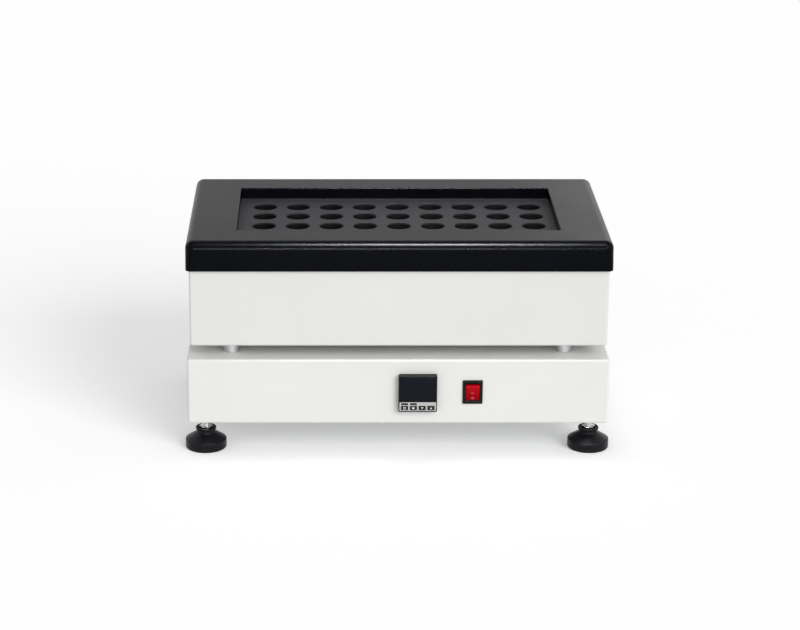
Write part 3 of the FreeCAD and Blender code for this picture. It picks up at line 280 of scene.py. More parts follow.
def thread_rings(outer_r, depth, pitch, low, high, centre, steps=48, levels=10, slope=2.3, crest=0.1):
    """A threaded rod: the radius falls from crest to root with the distance from the helix, in which the
    height rises by one pitch for each turn, and with a cone at the upper end. The fall is slope times the
    distance in pitches less crest, and ends at the root. Levels is the number of rings in a pitch."""
    level = np.linspace(low, high, int((high - low) / pitch * levels))[:, None]
    heading = full_turn(steps)
    phase = np.mod(level / pitch - heading / (2 * pi), 1.0)
    flank = np.clip(slope * np.abs(phase - 0.5) - crest, 0, 1)
    radius = np.minimum(outer_r - depth * flank, outer_r - depth + (high - level))
    return around(radius, heading, level, centre)


def facing_front(points, origin):
    """Local points, with their third value outwards, set on a face that looks to the front."""
    return np.stack([points[..., 0], -points[..., 2], points[..., 1]], axis=-1) + np.asarray(origin)


def quarter_round(steps=6):
    """One less the cosine, which rises from 0 to 1, and one less the sine, which falls from 1 to 0, of angles
    up to a right angle."""
    quarter = np.linspace(0, pi / 2, steps)
    return 1 - np.cos(quarter), 1 - np.sin(quarter)


def rim(edge, outer_level, inner_level=0.0):
    """Inset and level of a plate's side and of the quarter round that turns it into its face."""
    rising, falling = quarter_round(steps=5)
    inset = np.concatenate([[0.0], edge * rising, [edge + HOLD]])
    level = np.concatenate([[inner_level], outer_level - edge * falling, [outer_level]])
    return inset, level


def on_levels(outline, *levels):
    """A flat outline repeated on each level."""
    return np.stack([np.column_stack([outline, np.full(len(outline), level)]) for level in levels])


def prism(outline, thickness):
    """A flat shape with its outline on two levels and a pole in the middle of each."""
    return capped(on_levels(outline, 0.0, thickness))


def band(outer, inner, thickness):
    """A flat closed band between two outlines of as many points, on two levels."""
    return np.concatenate([on_levels(inner, 0.0), on_levels(outer, 0.0, thickness),
                           on_levels(inner, thickness)])


# ---- pieces
def add_object(name, data):
    """A new object in the scene."""
    thing = bpy.data.objects.new(name, data)
    bpy.context.scene.collection.objects.link(thing)
    return thing


def add_piece(name, parts, finish, body="root", replaces=(), sharp=35.0):
    """Make one object of parts, weld its seams and poles, give it its finish, tie it to its body, and hide
    the CAD nodes that it replaces.
    """
    starts = np.cumsum([0] + [len(points) for points, _ in parts[:-1]])
    points = np.concatenate([points for points, _ in parts])
    faces = np.concatenate([faces + start for (_, faces), start in zip(parts, starts)])
    mesh = bpy.data.meshes.new(name)
    mesh.from_pydata(points, [], faces)
    weld = bmesh.new()
    weld.from_mesh(mesh)
    bmesh.ops.remove_doubles(weld, verts=weld.verts, dist=NEAR)
    weld.to_mesh(mesh)
    weld.free()
    if mesh.validate():
        raise RuntimeError("%s has faces that are not sound" % name)
    mesh.shade_smooth()
    mesh.set_sharp_from_angle(angle=radians(sharp))
    mesh.materials.append(FINISHES[finish])
    thing = add_object(name, mesh)
    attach(thing, body)
    if replaces:
        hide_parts(*replaces)


def corners(node):
    """Lowest and highest corner of a CAD node, as arrays."""
    return [np.array(corner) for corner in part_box(node)]


def joint_place(name):
    """Point on a joint's axis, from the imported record."""
    return np.array(next(j for j in frame["joints"] if j["name"] == name)["pos_m"])


# ---- finishes
TONE_RANGE = (0.3, 0.7)     # part of the broad noise over which the colour changes
LEAST_ROUGHNESS = 0.02
BLOCK_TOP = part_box("graphite_block")[1].z
PIVOT = joint_place("rocker_tilt")
POWDER = {"tone": 0.02, "patch": 0.11, "IOR": 1.35}
PRINT = {"tone": 0.06, "patch": 0.002}

# Each finish: the CAD nodes that wear it, colour, roughness, grain in millimetres or as the name of a size,
# depth of the grain in microns, and other settings. A low stretch draws the grain out along that axis.
LOOKS = {
    # painted shade: the upper box wears a darker copy of the base's white powder coat
    "upper_powder": (["upper_shell", "upper_floor"], "shaded_upper_coat", 0.46, "paint_grain", 12, POWDER),
    "base_powder": (["base_shell", "back_panel"], "base_coat", 0.46, "paint_grain", 12, POWDER),
    "black_paint": (["top_frame"], "black_coat", 0.27, "paint_grain", 2.5,
                    {"tone": 0.25, "patch": 0.05, "spread": 0.04, "IOR": 1.137}),
    # painted shade: the graphite's colour falls from full at 0.6 mm below the block's top to 3 percent at 3.5 mm
    # and deeper, darkening the inside of each well
    "graphite": (["graphite_block", "block_floor"], "graphite", 0.62, 0.6, 30,
                 {"tone": 0.3, "patch": 0.012, "spread": 0.08, "IOR": 1.22,
                  "shade": (BLOCK_TOP - 3.5 * MM, BLOCK_TOP - 0.6 * MM, 0.03)}),
    "bright_steel": (["lead_conduit", "conduit_nuts", "temperature_probe", "foot_lock_nuts",
                      *("foot_stud_" + key for key in FEET)],
                     "steel", 0.16, 0.5, 3, {"stretch": (0.08, 0.08, 1), "Metallic": 1.0}),
    "satin_steel": (["spacer_pillars"], "satin", 0.36, 0.5, 4,
                    {"stretch": (1, 1, 0.05), "tone": 0.1, "patch": 0.01, "Metallic": 1.0}),
    "zinc_sheet": (["bottom_plate"], "zinc", 0.38, 4, 4,
                   {"tone": 0.22, "patch": 0.009, "spread": 0.1, "Metallic": 1.0}),
    "zinc_screws": (["shell_screws", "inlet_screws", "relay_screws", "upper_box_screws", "clamp_screws",
                     "pillar_bolts", "pillar_nuts"],
                    "zinc", 0.3, 0.4, 4, {"tone": 0.12, "patch": 0.004, "Metallic": 1.0}),
    "stainless_sheet": (["inner_tray", "heater_clamp_plate"], "stainless", 0.3, 0.6, 3,
                        {"stretch": (0.02, 1, 1), "tone": 0.08, "Metallic": 1.0}),
    "brass": (["switch_tabs", "inlet_pins", "earth_stud"], "brass", 0.28, 0.6, 4,
              {"tone": 0.2, "patch": 0.005, "Metallic": 1.0}),
    "aluminium": (["relay_heatsink", "tray_spacers"], "aluminium", 0.36, 0.6, 6,
                  {"stretch": (1, 0.02, 1), "tone": 0.08, "Metallic": 1.0}),
    "mica": (["heater_panel"], "mica", 0.35, 3, 20, {"tone": 0.45, "patch": 0.006}),
    "fibre_board": (["side_boards", "end_boards", "floor_board"], "fibre", 0.95, 1.2, 200,
                    {"stretch": (0.3, 0.3, 1), "tone": 0.12, "patch": 0.01}),
    "silicone": (["block_seal"], "silicone", 0.6, 0.8, 10, {"tone": 0.2}),
    "lead_braid": (["sensor_lead", "heater_leads", "mains_leads"], "braid", 0.7, 0.8, 80,
                   {"stretch": (1, 1, 0.6), "tone": 0.15, "patch": 0.003}),
    "black_moulding": (["controller_bezel", "controller_case", "controller_clamp", "switch_body",
                        "power_inlet", "fuse_holder", "fuse_cap"],
                       "moulding", 0.42, "mould_grain", 14, {"tone": 0.15, "patch": 0.02, "IOR": 1.18}),
    "foot_moulding": (["foot_pad_" + key for key in FEET], "foot", 0.34, "mould_grain", 10,
                      {"tone": 0.2, "patch": 0.02, "IOR": 1.24}),
    "relay_moulding": (["solid_state_relay", "terminal_strip"], "relay", 0.45, "mould_grain", 10,
                       {"tone": 0.06}),
    "fuse_glass": (["fuse_link"], "glass", 0.05, 10, 2,
                   {"tone": 0.02, "spread": 0.01, "Transmission_Weight": 0.9}),
    "window_gloss": (["display_window"], "window", 0.06, 20, 10, {"tone": 0.1, "spread": 0.02, "IOR": 1.2}),
    "strip_print": (["key_strip"], "strip", 0.4, "mould_grain", 6, {"tone": 0.06, "patch": 0.01}),
    "key_rubber": (KEYS, "key", 0.45, 0.3, 4, {"tone": 0.15, "patch": 0.004, "IOR": 1.25}),
    "mark_print": ([], "mark", 0.5, 0.3, 2, PRINT),
    # painted shade: the red falls from full 10 mm above the pivot to 42 percent 10 mm below it, darker towards the
    # rocker's lower end
    "rocker_red": (["rocker"], "rocker", 0.16, 2, 4,
                   {"tone": 0.2, "patch": 0.004, "shade": (PIVOT[2] - 10 * MM, PIVOT[2] + 10 * MM, 0.42),
                    "Subsurface_Weight": 0.15, "Subsurface_Scale": 0.002, "IOR": 1.12}),
    "rocker_print": ([], "rocker_mark", 0.4, 0.3, 2, PRINT),
}


def set_inputs(node, **values):
    """Set values of a node's inputs. An underscore in a name stands for a space."""
    for name, value in values.items():
        node.inputs[name.replace("_", " ")].default_value = value
    return node


def add_node(tree, kind, source, socket, **values):
    """A new shader node whose input of the given name or number comes from source."""
    node = set_inputs(tree.nodes.new("ShaderNode" + kind), **values)
    tree.links.new(source, node.inputs[socket])
    return node


def make_finish(name, nodes, base, roughness, grain, depth, stretch=(1, 1, 1), tone=0.05, patch=0.06,
                spread=0.05, shade=None, **inputs):
    """Principled finish on object coordinates, given to the CAD nodes. A fine noise of size grain lifts the
    surface by up to depth, and a broad one of size patch darkens the colour by up to tone and moves the
    roughness by spread. Where shade gives two heights and a share, the colour falls from the whole at the
    upper height to that share at the lower one, which is painted shade. Other values go to the shader's own
    inputs."""
    material = bpy.data.materials.new(name)
    material.use_nodes = True
    tree = material.node_tree
    shader = set_inputs(tree.nodes["Principled BSDF"], **inputs)
    place = tree.nodes.new("ShaderNodeTexCoord").outputs["Object"]
    mapping = add_node(tree, "Mapping", place, "Vector", Scale=stretch)
    fine = add_node(tree, "TexNoise", mapping.outputs["Vector"], "Vector", Scale=1 / grain, Detail=3.0)
    bump = add_node(tree, "Bump", fine.outputs["Fac"], "Height", Strength=1.0, Distance=depth)
    tree.links.new(bump.outputs["Normal"], shader.inputs["Normal"])
    broad = add_node(tree, "TexNoise", place, "Vector", Scale=1 / patch, Detail=4.0).outputs["Fac"]
    ramp = add_node(tree, "ValToRGB", broad, "Fac")
    for end, position, share in zip(ramp.color_ramp.elements, TONE_RANGE, (1 - tone, 1)):
        end.position = position
        end.color = [value * share for value in base] + [1]
    tint = ramp.outputs["Color"]
    # painted shade: the colour is scaled down between the two heights
    if shade:
        low, high, least = shade
        height = add_node(tree, "SeparateXYZ", place, "Vector")
        fall = add_node(tree, "MapRange", height.outputs["Z"], "Value", From_Min=low, From_Max=high,
                        To_Min=least)
        darker = add_node(tree, "VectorMath", tint, 0)
        darker.operation = "SCALE"
        tree.links.new(fall.outputs["Result"], darker.inputs["Scale"])
        tint = darker.outputs["Vector"]
    tree.links.new(tint, shader.inputs["Base Color"])
    gloss = add_node(tree, "MapRange", broad, "Value", To_Min=max(LEAST_ROUGHNESS, roughness - spread),
                     To_Max=min(1.0, roughness + spread))
    tree.links.new(gloss.outputs["Result"], shader.inputs["Roughness"])
    FINISHES[name] = material
    for node in nodes:
        for slot in frame["nodes"][node].material_slots:
            slot.material = material


class DIGESTER_OT_finishes(bpy.types.Operator):
    """Make every finish and give it to the CAD nodes that keep their shape"""
    bl_idname = "digester.finishes"
    bl_label = "Finishes"

    def execute(self, context):
        colours, sizes = context.scene.digester_colours, context.scene.digester_sizes
        for name, (nodes, tint, roughness, grain, depth, settings) in LOOKS.items():
            grain = getattr(sizes, grain) if isinstance(grain, str) else grain * MM
            make_finish(name, nodes, getattr(colours, tint), roughness, grain, depth * MICRON, **settings)
        return {"FINISHED"}


# ---- top frame
class DIGESTER_OT_top_frame(bpy.types.Operator):
    """Pressed black frame: skirt, rounded outer edge, flat top and rounded edge down into the recess"""
    bl_idname = "digester.top_frame"
    bl_label = "Top frame"

    def execute(self, context):
        sizes = context.scene.digester_sizes
        low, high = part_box("top_frame")
        half_x, half_y, top, foot = high.x, high.y, high.z, low.z
        wall, lip, edge = sizes.frame_wall, sizes.frame_wall / 4, sizes.edge_round
        rising, falling = quarter_round(steps=13)

        def outer(inset, level):
            """Half width, half depth, corner radius and height. The corner grows smoothly with the height."""
            inset, level = np.broadcast_arrays(*map(np.atleast_1d, (inset, level)))
            rise = np.clip((level - (top - edge - sizes.corner_ease)) / sizes.corner_ease, 0, 1)
            corner = sizes.corner_low + (sizes.corner_top - sizes.corner_low) * rise**2 * (3 - 2 * rise)
            return np.column_stack([half_x - inset, half_y - inset, np.maximum(corner - inset, 0.0), level])

        def recess(out, level):
            """The same for the recess, where out is the distance from its wall."""
            out, level = np.broadcast_arrays(*map(np.atleast_1d, (out, level)))
            return np.column_stack([half_x - sizes.border_x + out, half_y - sizes.border_y + out,
                                    sizes.recess_corner + out, level])

        under = top - sizes.frame_plate
        section = np.concatenate([
            outer(0.0, np.linspace(foot + lip + HOLD, top - edge - HOLD, 16)),
            outer(edge * rising, top - edge * falling),
            outer(edge + HOLD, top),
            recess(sizes.recess_edge + HOLD, top),
            recess(sizes.recess_edge * falling, top - sizes.recess_edge * rising),
            recess(0.0, [top - sizes.recess_edge - HOLD, top - sizes.recess_depth]),
            recess(wall, [top - sizes.recess_depth, under]),
            outer(wall, np.linspace(under, foot + lip + HOLD, 8)),
            outer(wall - lip * rising, foot + lip * falling),
            outer(lip * falling, foot + lip * rising),
        ])
        rings = rounded_rings(*section.T, steps=12)
        add_piece("frame_pressing", [loft(rings, close_rows=True)], "black_paint",
                  replaces=["top_frame"])
        return {"FINISHED"}


# ---- graphite block
class DIGESTER_OT_graphite_block(bpy.types.Operator):
    """Drilled graphite block with a softly rounded mouth at each well"""
    bl_idname = "digester.graphite_block"
    bl_label = "Graphite block"

    side = 16               # steps along a side of the square field around a well
    ring_depth = 5 * MM     # depth of a ring that keeps the wall's quads short near the mouth

    def execute(self, context):
        wells = [m for m in frame["record"]["mounts"] if m["kind"] == "bore"]
        if not wells:
            raise RuntimeError("the packed record names no wells")
        low, high = corners("graphite_block")
        centre = np.array([m["pos_m"][:2] for m in wells])
        radius = wells[0]["dims"]["r_mm"] * MM
        mouth = context.scene.digester_sizes.well_mouth
        side = self.side
        share = np.arange(side) / side

        def fields(axis):
            """Lower and upper edge of each well's field along an axis, halfway to its neighbours or at the
            block's own side, and the edges of all the fields."""
            places = np.unique(centre[:, axis].round(6))
            edges = np.concatenate([low[axis:axis + 1], (places[1:] + places[:-1]) / 2, high[axis:axis + 1]])
            index = np.searchsorted(places, centre[:, axis] - NEAR)
            return edges[index, None], edges[index + 1, None], edges

        def divided(edges):
            """The edges, with each gap between them cut into as many steps as a field's side."""
            return np.append((edges[:-1, None] + np.diff(edges)[:, None] * share).ravel(), edges[-1])

        x_low, x_high, x_edges = fields(0)
        y_low, y_high, y_edges = fields(1)
        ones = np.ones(side)
        across = np.concatenate([ones, 1 - share, 0 * ones, share])
        along = np.concatenate([share, ones, 1 - share, 0 * ones])
        square = np.stack([x_low + (x_high - x_low) * across, y_low + (y_high - y_low) * along], axis=-1)
        heading = np.arange(4 * side) / (4 * side) * 2 * pi - pi / 4
        circle = np.stack([np.cos(heading), np.sin(heading)], axis=-1)
        rising, falling = quarter_round()
        ring_r = np.concatenate([[radius + mouth + HOLD], radius + mouth * falling, [radius, radius, radius]])
        level = np.concatenate([[high[2], high[2]], high[2] - mouth * rising,
                                [high[2] - mouth - HOLD, high[2] - self.ring_depth, low[2], low[2]]])
        rings = centre[:, None, None] + ring_r[None, :, None, None] * circle
        plan = np.concatenate([square[:, None], rings, square[:, None]], axis=1)
        height = np.broadcast_to(level[None, :, None], plan.shape[:3])
        points = np.concatenate([plan, height[..., None]], axis=-1)
        rows, columns = points.shape[1:3]
        starts = np.arange(len(wells))[:, None, None] * rows * columns
        faces = (grid_faces(rows, columns)[None, :, ::-1] + starts).reshape(-1, 4)

        x_run, y_run = divided(x_edges), divided(y_edges)
        sides = ((x_run[:-1], low[1]), (high[0], y_run[:-1]), (x_run[:0:-1], high[1]), (low[0], y_run[:0:-1]))
        loop = np.concatenate([np.stack(np.broadcast_arrays(x, y), axis=-1) for x, y in sides])
        walls = on_levels(loop, low[2], high[2])
        add_piece("drilled_graphite", [(points.reshape(-1, 3), faces),
                                       (walls.reshape(-1, 3), grid_faces(2, len(loop)))],
                  "graphite", replaces=["graphite_block"])
        return {"FINISHED"}


# ---- pillars
class DIGESTER_OT_pillars(bpy.types.Operator):
    """Turned steel pillars between the two boxes"""
    bl_idname = "digester.pillars"
    bl_label = "Pillars"

    def execute(self, context):
        sizes = context.scene.digester_sizes
        low, high = corners("spacer_pillars")
        bore, outer, edge = sizes.pillar_bore, sizes.pillar_radius, sizes.turned_edge
        height = high[2] - low[2]
        path = round_path([(bore, 0), (outer, 0), (outer, height), (bore, height)],
                          [edge / 2, edge, edge, edge / 2], closed=True)
        places = SQUARE * (high[:2] - outer)
        parts = [loft(turned(path, (x, y, low[2])), close_rows=True) for x, y in places]
        add_piece("turned_pillars", parts, "satin_steel", replaces=["spacer_pillars"])
        return {"FINISHED"}


# ---- levelling feet
class DIGESTER_OT_feet(bpy.types.Operator):
    """Levelling feet: moulded pad with a collar, threaded stud with a hexagon, and lock nut"""
    bl_idname = "digester.feet"
    bl_label = "Levelling feet"

    sole_bevel = 1.2 * MM
    cone_top = 20 * MM
    cone_reach = 0.6 * MM
    neck_top = 22.8 * MM
    collar_low = 24.2 * MM
    collar_floor = 20.3 * MM
    pivot_radius = 4 * MM
    pivot_play = 0.1 * MM
    pivot_floor = 9 * MM
    pivot_round = 0.5 * MM
    hex_low = 20.6 * MM
    hex_high = 28.6 * MM

    def pad_path(self, sizes, radius, height):
        """Half section of a pad: sole, band, cone, waist, collar, and the recess and pivot hole inside it.
        Each station is a radius, a height and a rounding in millimetres."""
        pivot = self.pivot_radius + self.pivot_play
        stations = [(0, 0, 0), (sizes.pad_sole, 0, 0.4), (radius, self.sole_bevel, 0.5),
                    (radius, sizes.pad_band, 1.1), (sizes.pad_neck + self.cone_reach, self.cone_top, 1.0),
                    (sizes.pad_neck, self.neck_top, 0.8), (sizes.collar_radius, self.collar_low, 0.5),
                    (sizes.collar_radius, height, 0.7), (sizes.collar_bore, height, 0.5),
                    (sizes.collar_bore, self.collar_floor, 0.4), (pivot, self.collar_floor, 0.3),
                    (pivot, self.pivot_floor, 0.2), (0, self.pivot_floor, 0)]
        return round_path([station[:2] for station in stations], [station[2] * MM for station in stations])

    def execute(self, context):
        sizes = context.scene.digester_sizes
        nut_low, nut_high = corners("foot_lock_nuts")
        nuts = []
        for key in FEET:
            pad_low, pad_high = corners("foot_pad_" + key)
            x, y = (pad_low[:2] + pad_high[:2]) / 2
            path = self.pad_path(sizes, (pad_high[0] - pad_low[0]) / 2, pad_high[2] - pad_low[2])
            pad = loft(turned(path, (x, y, pad_low[2]), steps=96))
            add_piece("pad_" + key, [pad], "foot_moulding", body="foot_pad_" + key,
                      replaces=["foot_pad_" + key])
            stud_low, stud_high = corners("foot_stud_" + key)
            pivot = round_path([(0, stud_low[2]), (self.pivot_radius, stud_low[2]),
                                (self.pivot_radius, self.hex_low), (0, self.hex_low)],
                               [0, self.pivot_round, 0, 0])
            thread = thread_rings(sizes.stud_radius, sizes.thread_depth, sizes.thread_pitch, self.hex_high,
                                  stud_high[2], (x, y))
            parts = [
                loft(turned(pivot, (x, y, 0.0), steps=32)),
                loft(hexagon_rings(sizes.hex_flats, self.hex_high - self.hex_low, 0.0, (x, y, self.hex_low))),
                loft(capped(thread)),
            ]
            add_piece("stud_" + key, parts, "bright_steel", body="foot_stud_" + key,
                      replaces=["foot_stud_" + key])
            bore = sizes.stud_radius + self.pivot_play
            nut = hexagon_rings(sizes.nut_flats, nut_high[2] - nut_low[2], bore, (x, y, nut_low[2]))
            nuts.append(loft(nut, close_rows=True))
        add_piece("lock_nuts", nuts, "bright_steel", replaces=["foot_lock_nuts"])
        return {"FINISHED"}


# ---- controller
class DIGESTER_OT_controller(bpy.types.Operator):
    """Display window, keys with their marks and the dark fields of the temperature controller"""
    bl_idname = "digester.controller"
    bl_label = "Temperature controller"

    window_corner = 0.8 * MM
    window_corner_change = 0.4 * MM
    key_corner = 0.9 * MM
    lip_corner = 0.4 * MM
    lip_height = 1 * MM
    label_corner = 0.4 * MM
    ring_outer = 1.5 * MM
    ring_inner = 0.84 * MM
    plate_half = (1.44 * MM, 1.08 * MM)
    pointer = np.array([(-1.6, 1.1), (1.6, 1.1), (0.0, -1.3)]) * MM

    def key_mark(self, key):
        """A key's mark as arrays of points, one unit thick: a square ring, a plate or one of two pointers."""
        return {"key_1": band(SQUARE * self.ring_outer, SQUARE * self.ring_inner, 1.0),
                "key_2": prism(SQUARE * self.plate_half, 1.0),
                "key_3": prism(self.pointer, 1.0), "key_4": prism(-self.pointer, 1.0)}[key]

    def execute(self, context):
        sizes = context.scene.digester_sizes
        low, high = corners("display_window")
        half, middle = (high - low) / 2, (low + high) / 2
        inset, level = rim(sizes.window_edge, high[1] - low[1])
        corner = self.window_corner - np.minimum(inset, self.window_corner_change)
        plate = capped(rounded_rings(half[0] - inset, half[2] - inset, corner, level))
        plate = facing_front(plate, (middle[0], high[1], middle[2]))
        add_piece("window_plate", [loft(plate)], "window_gloss", replaces=["display_window"])

        mark = sizes.mark_height
        bezel_low, _ = corners("controller_bezel")
        strip_low, _ = corners("key_strip")
        labels = []
        for key in KEYS:
            low, high = corners(key)
            middle = (low + high) / 2
            depth = high[1] - low[1] - mark
            half_x, _, half_z = (high - low) / 2 - sizes.key_lip
            inset, level = rim(sizes.key_edge, depth, self.lip_height)
            cap = capped(rounded_rings(half_x - inset, half_z - inset, self.key_corner - inset, level))
            lip = capped(rounded_rings(half_x + sizes.key_lip, half_z + sizes.key_lip, self.lip_corner,
                                       [0.0, self.lip_height]))
            place = (middle[0], high[1], middle[2])
            parts = [loft(facing_front(rings, place)) for rings in (cap, lip)]
            add_piece(key + "_cap", parts, "key_rubber", body=key, replaces=[key])
            shape = self.key_mark(key) * (1, 1, mark)
            shape = facing_front(shape, (middle[0], low[1] + mark, middle[2]))
            part = loft(shape, close_rows=key == "key_1")
            add_piece(key + "_mark", [part], "mark_print", body=key)
            if key in KEYS[:2]:
                label = capped(rounded_rings(sizes.label_width / 2, sizes.label_height / 2, self.label_corner,
                                             [0.0, mark]))
                place = (middle[0], strip_low[1], bezel_low[2] + sizes.label_place)
                labels.append(loft(facing_front(label, place)))
        add_piece("strip_labels", labels, "key_rubber")
        return {"FINISHED"}


# ---- rocker switch
class DIGESTER_OT_rocker_switch(bpy.types.Operator):
    """Mains switch: moulded bezel with a cavity and a dished red rocker with its two marks"""
    bl_idname = "digester.rocker_switch"
    bl_label = "Rocker switch"

    bezel_depth = 2 * MM
    half_bezel = (12.5 * MM, 15.5 * MM)
    half_body = (10.8 * MM, 13.8 * MM)
    half_cavity = (9.0 * MM, 11.6 * MM)
    half_height = 10.7 * MM
    nose = 1 * MM
    keel = 3 * MM
    pivot_depth = 5 * MM
    tilt = radians(11.0)
    body_corner = 0.5 * MM
    bezel_corner = 1.2 * MM
    bezel_round = 0.6 * MM
    flat_corner = 0.5 * MM
    cavity_corner = 0.4 * MM
    cavity_round = 0.4 * MM
    cavity_depth = 12 * MM
    paddle_round = 0.5 * MM
    bar_half = (1.7 * MM, 0.4 * MM)
    bar_height = -0.9 * MM
    ring_outer = 1.5 * MM
    ring_inner = 0.9 * MM
    ring_height = -7.2 * MM

    def moulding(self, low, high):
        """Body, back of the bezel, rounded front edge, and the cavity down to its floor. Each row of the
        section is half width, half height, corner and level."""
        rising, falling = quarter_round()
        front, soft, hole = self.bezel_depth, self.bezel_round, self.cavity_round
        bezel, cavity = np.array(self.half_bezel), np.array(self.half_cavity)
        section = np.concatenate([
            [(*self.half_body, self.body_corner, front - (high[1] - low[1])),
             (*self.half_body, self.body_corner, 0.0),
             (*bezel, self.bezel_corner, 0.0)],
            np.column_stack([bezel - soft * rising[:, None], self.bezel_corner - soft * rising,
                             front - soft * falling]),
            [(*bezel - soft - HOLD, self.flat_corner, front),
             (*cavity + hole + HOLD, self.cavity_corner + hole, front)],
            np.column_stack([cavity + hole * falling[:, None], self.cavity_corner + hole * falling,
                             front - hole * rising]),
            [(*cavity, self.cavity_corner, front - self.cavity_depth)],
        ])
        place = ((low[0] + high[0]) / 2, low[1] + front, (low[2] + high[2]) / 2)
        return loft(facing_front(capped(rounded_rings(*section.T)), place))

    def face_depth(self, height, hollow):
        """Depth of a face before the tilt: straight from the valley to the end, less a dish that follows a
        sine."""
        valley = self.pivot_depth - self.half_height / 2 * sin(self.tilt)
        share = np.abs(height) / (self.half_height - self.nose)
        rise = self.half_height * tan(self.tilt)
        return -(valley + rise * share) + hollow * np.sin(pi * np.minimum(share, 1.0))

    def place_tilted(self, x, depth, height):
        """Points of the tilted rocker from their places before the tilt."""
        y = depth * cos(self.tilt) - height * sin(self.tilt)
        z = depth * sin(self.tilt) + height * cos(self.tilt)
        return np.stack(np.broadcast_arrays(x, y, z), axis=-1) + PIVOT

    def paddle(self, sizes):
        """Side view carried across the width. Near each side it shrinks towards its middle along a quarter
        round."""
        height = np.linspace(0, self.half_height - self.nose, 13)
        upper = np.column_stack([self.face_depth(height, sizes.rocker_hollow), height])
        end = -upper[-1, 0]
        tip = self.half_height
        side = np.concatenate([upper, [(self.nose - end, tip), (0.0, tip - self.nose), (self.keel, 0.0),
                                       (0.0, self.nose - tip), (self.nose - end, -tip)],
                               (upper * (1, -1))[:0:-1]])
        soft = self.paddle_round
        rising, falling = quarter_round()
        half_width = sizes.rocker_width / 2
        left = np.append(-half_width + soft * rising, -half_width + soft + HOLD)
        shrink = np.append(soft * falling, 0.0)
        station, shrink = np.concatenate([left, -left[::-1]]), np.concatenate([shrink, shrink[::-1]])
        centre = np.array([(self.keel - end) / 2, 0.0])
        rings = centre + (side - centre) * (1 - shrink[:, None, None] / np.array([end, tip]))
        return loft(capped(self.place_tilted(station[:, None], rings[..., 0], rings[..., 1])))

    def mark(self, shape, height, sizes, close_rows=False):
        """A flat shape laid on the lower face, with its third value as the distance from that face."""
        level = shape[..., 1] + height
        depth = self.face_depth(level, sizes.rocker_hollow) - shape[..., 2]
        return loft(self.place_tilted(shape[..., 0], depth, level), close_rows)

    def execute(self, context):
        sizes = context.scene.digester_sizes
        add_piece("switch_moulding", [self.moulding(*corners("switch_body"))], "black_moulding",
                  replaces=["switch_body"])
        add_piece("rocker_paddle", [self.paddle(sizes)], "rocker_red", body="rocker",
                  replaces=["rocker"], sharp=25.0)
        heading = full_turn(steps=32)
        circle = np.stack([np.cos(heading), np.sin(heading)], axis=-1)
        ring = band(circle * self.ring_outer, circle * self.ring_inner, sizes.mark_height)
        bar = prism(SQUARE * self.bar_half, sizes.mark_height)
        marks = [self.mark(bar, self.bar_height, sizes),
                 self.mark(ring, self.ring_height, sizes, close_rows=True)]
        add_piece("rocker_marks", marks, "rocker_print", body="rocker")
        return {"FINISHED"}


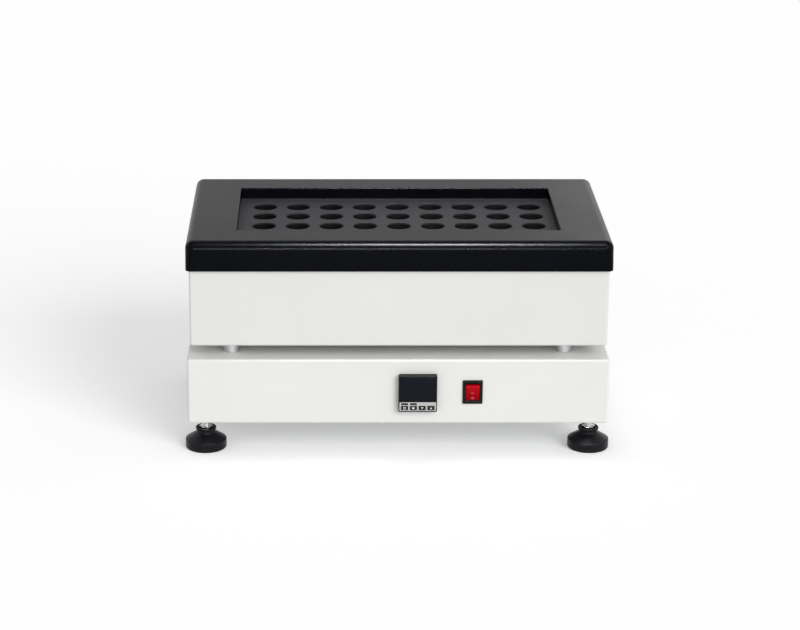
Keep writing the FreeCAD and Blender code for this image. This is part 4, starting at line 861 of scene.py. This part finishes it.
# ---- stage
class DIGESTER_OT_stage(bpy.types.Operator):
    """Pale floor, surrounding light, soft light from the front and right, three gloss lamps and the camera"""
    bl_idname = "digester.stage"
    bl_label = "Stage"

    white = (1, 1, 1, 1)
    floor_sides = 96
    floor_level = -0.1 * MM
    key_place = (0.62, -0.85, 0.52)
    gloss_lamps = {         # place, target, width and height, and spread in degrees
        "softbox": ((0.08, -0.72, 1.63), (0.06, -0.148, 0.27), (0.3, 0.66), 22.0),
        "low_strip": ((0.0, -2.2, 0.46), (-0.02, -0.148, 0.27), (0.7, 0.08), 22.0),
        "rear_lamp": ((1.1, 2.4, 1.0), (0.16, 0.0, 0.28), (1.4, 0.8), 60.0),
    }
    camera_place = (-0.08976, -2.94914, 1.14726)
    camera_pitch = radians(71.05)
    camera_shift = 0.092
    sensor_width = 36
    clip_end = 50

    def execute(self, context):
        stage = context.scene.digester_stage
        radius = np.full(self.floor_sides, stage.floor_radius)
        edge = around(radius, full_turn(self.floor_sides), self.floor_level, (0, 0))
        mesh = bpy.data.meshes.new("floor")
        mesh.from_pydata(edge.tolist(), [], [list(range(self.floor_sides))])
        floor = add_object("floor", mesh)
        material = bpy.data.materials.new("pale_floor")
        material.use_nodes = True
        tree = material.node_tree
        shader = set_inputs(tree.nodes["Principled BSDF"], Base_Color=(*stage.floor, 1), Roughness=0.9,
                            Specular_IOR_Level=0.0, Emission_Color=self.white)
        lift = add_node(tree, "Math", self.seen_ray(tree), 0)
        lift.operation = "MULTIPLY"
        lift.inputs[1].default_value = stage.floor_lift
        tree.links.new(lift.outputs[0], shader.inputs["Emission Strength"])
        mesh.materials.append(material)

        world = bpy.data.worlds.new("surroundings")
        context.scene.world = world
        world.use_nodes = True
        tree = world.node_tree
        background = set_inputs(tree.nodes["Background"], Color=self.white)
        level = add_node(tree, "MapRange", self.seen_ray(tree), "Value", To_Min=stage.fill)
        tree.links.new(level.outputs["Result"], background.inputs["Strength"])

        self.add_lamp("key_light", "SUN", stage.key_light, self.key_place, (0, 0, 0), angle=stage.key_spread)
        for name, (place, target, extent, spread) in self.gloss_lamps.items():
            lamp = self.add_lamp(name, "AREA", getattr(stage, name), place, target, shape="RECTANGLE",
                                 size=extent[0], size_y=extent[1], spread=radians(spread))
            lamp.visible_diffuse = False
            lamp.visible_camera = False

        camera_data = bpy.data.cameras.new("camera")
        camera_data.lens = stage.lens / MM
        camera_data.sensor_width = self.sensor_width
        camera_data.shift_x = self.camera_shift
        camera_data.clip_end = self.clip_end
        camera = add_object("camera", camera_data)
        camera.location = self.camera_place
        camera.rotation_euler = (self.camera_pitch, 0, 0)
        context.scene.camera = camera
        context.scene.view_settings.view_transform = "Standard"
        return {"FINISHED"}

    @staticmethod
    def seen_ray(tree):
        """One for camera, glossy and transmission rays, and zero for the rest."""
        ray = tree.nodes.new("ShaderNodeLightPath")
        total = ray.outputs["Is Camera Ray"]
        for kind in ("Is Glossy Ray", "Is Transmission Ray"):
            most = add_node(tree, "Math", total, 0)
            most.operation = "MAXIMUM"
            tree.links.new(ray.outputs[kind], most.inputs[1])
            total = most.outputs[0]
        return total

    @staticmethod
    def add_lamp(name, kind, power, place, target, **settings):
        """A lamp at a place that looks at its target."""
        data = bpy.data.lights.new(name, kind)
        data.energy = power
        for setting, value in settings.items():
            setattr(data, setting, value)
        lamp = add_object(name, data)
        lamp.location = place
        lamp.rotation_mode = "QUATERNION"
        lamp.rotation_quaternion = (Vector(target) - Vector(place)).to_track_quat("-Z", "Y")
        return lamp


class DIGESTER_PT_panel(bpy.types.Panel):
    """Sizes, colours and steps of the block digester"""
    bl_idname = "DIGESTER_PT_panel"
    bl_label = "Block digester"
    bl_space_type = "VIEW_3D"
    bl_region_type = "UI"
    bl_category = "Digester"

    def draw(self, context):
        for step in STEPS:
            self.layout.operator(step.bl_idname)
        for place in GROUPS:
            group = getattr(context.scene, place)
            for name in group.__annotations__:
                self.layout.prop(group, name)


STEPS = (DIGESTER_OT_stage, DIGESTER_OT_finishes, DIGESTER_OT_top_frame, DIGESTER_OT_graphite_block,
         DIGESTER_OT_pillars, DIGESTER_OT_feet, DIGESTER_OT_controller, DIGESTER_OT_rocker_switch)
GROUPS = {"digester_sizes": DigesterSizes, "digester_colours": DigesterColours,
          "digester_stage": DigesterStage}
CLASSES = (*GROUPS.values(), *STEPS, DIGESTER_PT_panel)


def register():
    for kind in CLASSES:
        bpy.utils.register_class(kind)
    for place, group in GROUPS.items():
        setattr(bpy.types.Scene, place, PointerProperty(type=group))


def unregister():
    for place in GROUPS:
        delattr(bpy.types.Scene, place)
    for kind in reversed(CLASSES):
        bpy.utils.unregister_class(kind)


def main():
    """Run every step."""
    register()
    for step in STEPS:
        group, name = step.bl_idname.split(".")
        getattr(getattr(bpy.ops, group), name)()


if __name__ == "__main__":
    main()
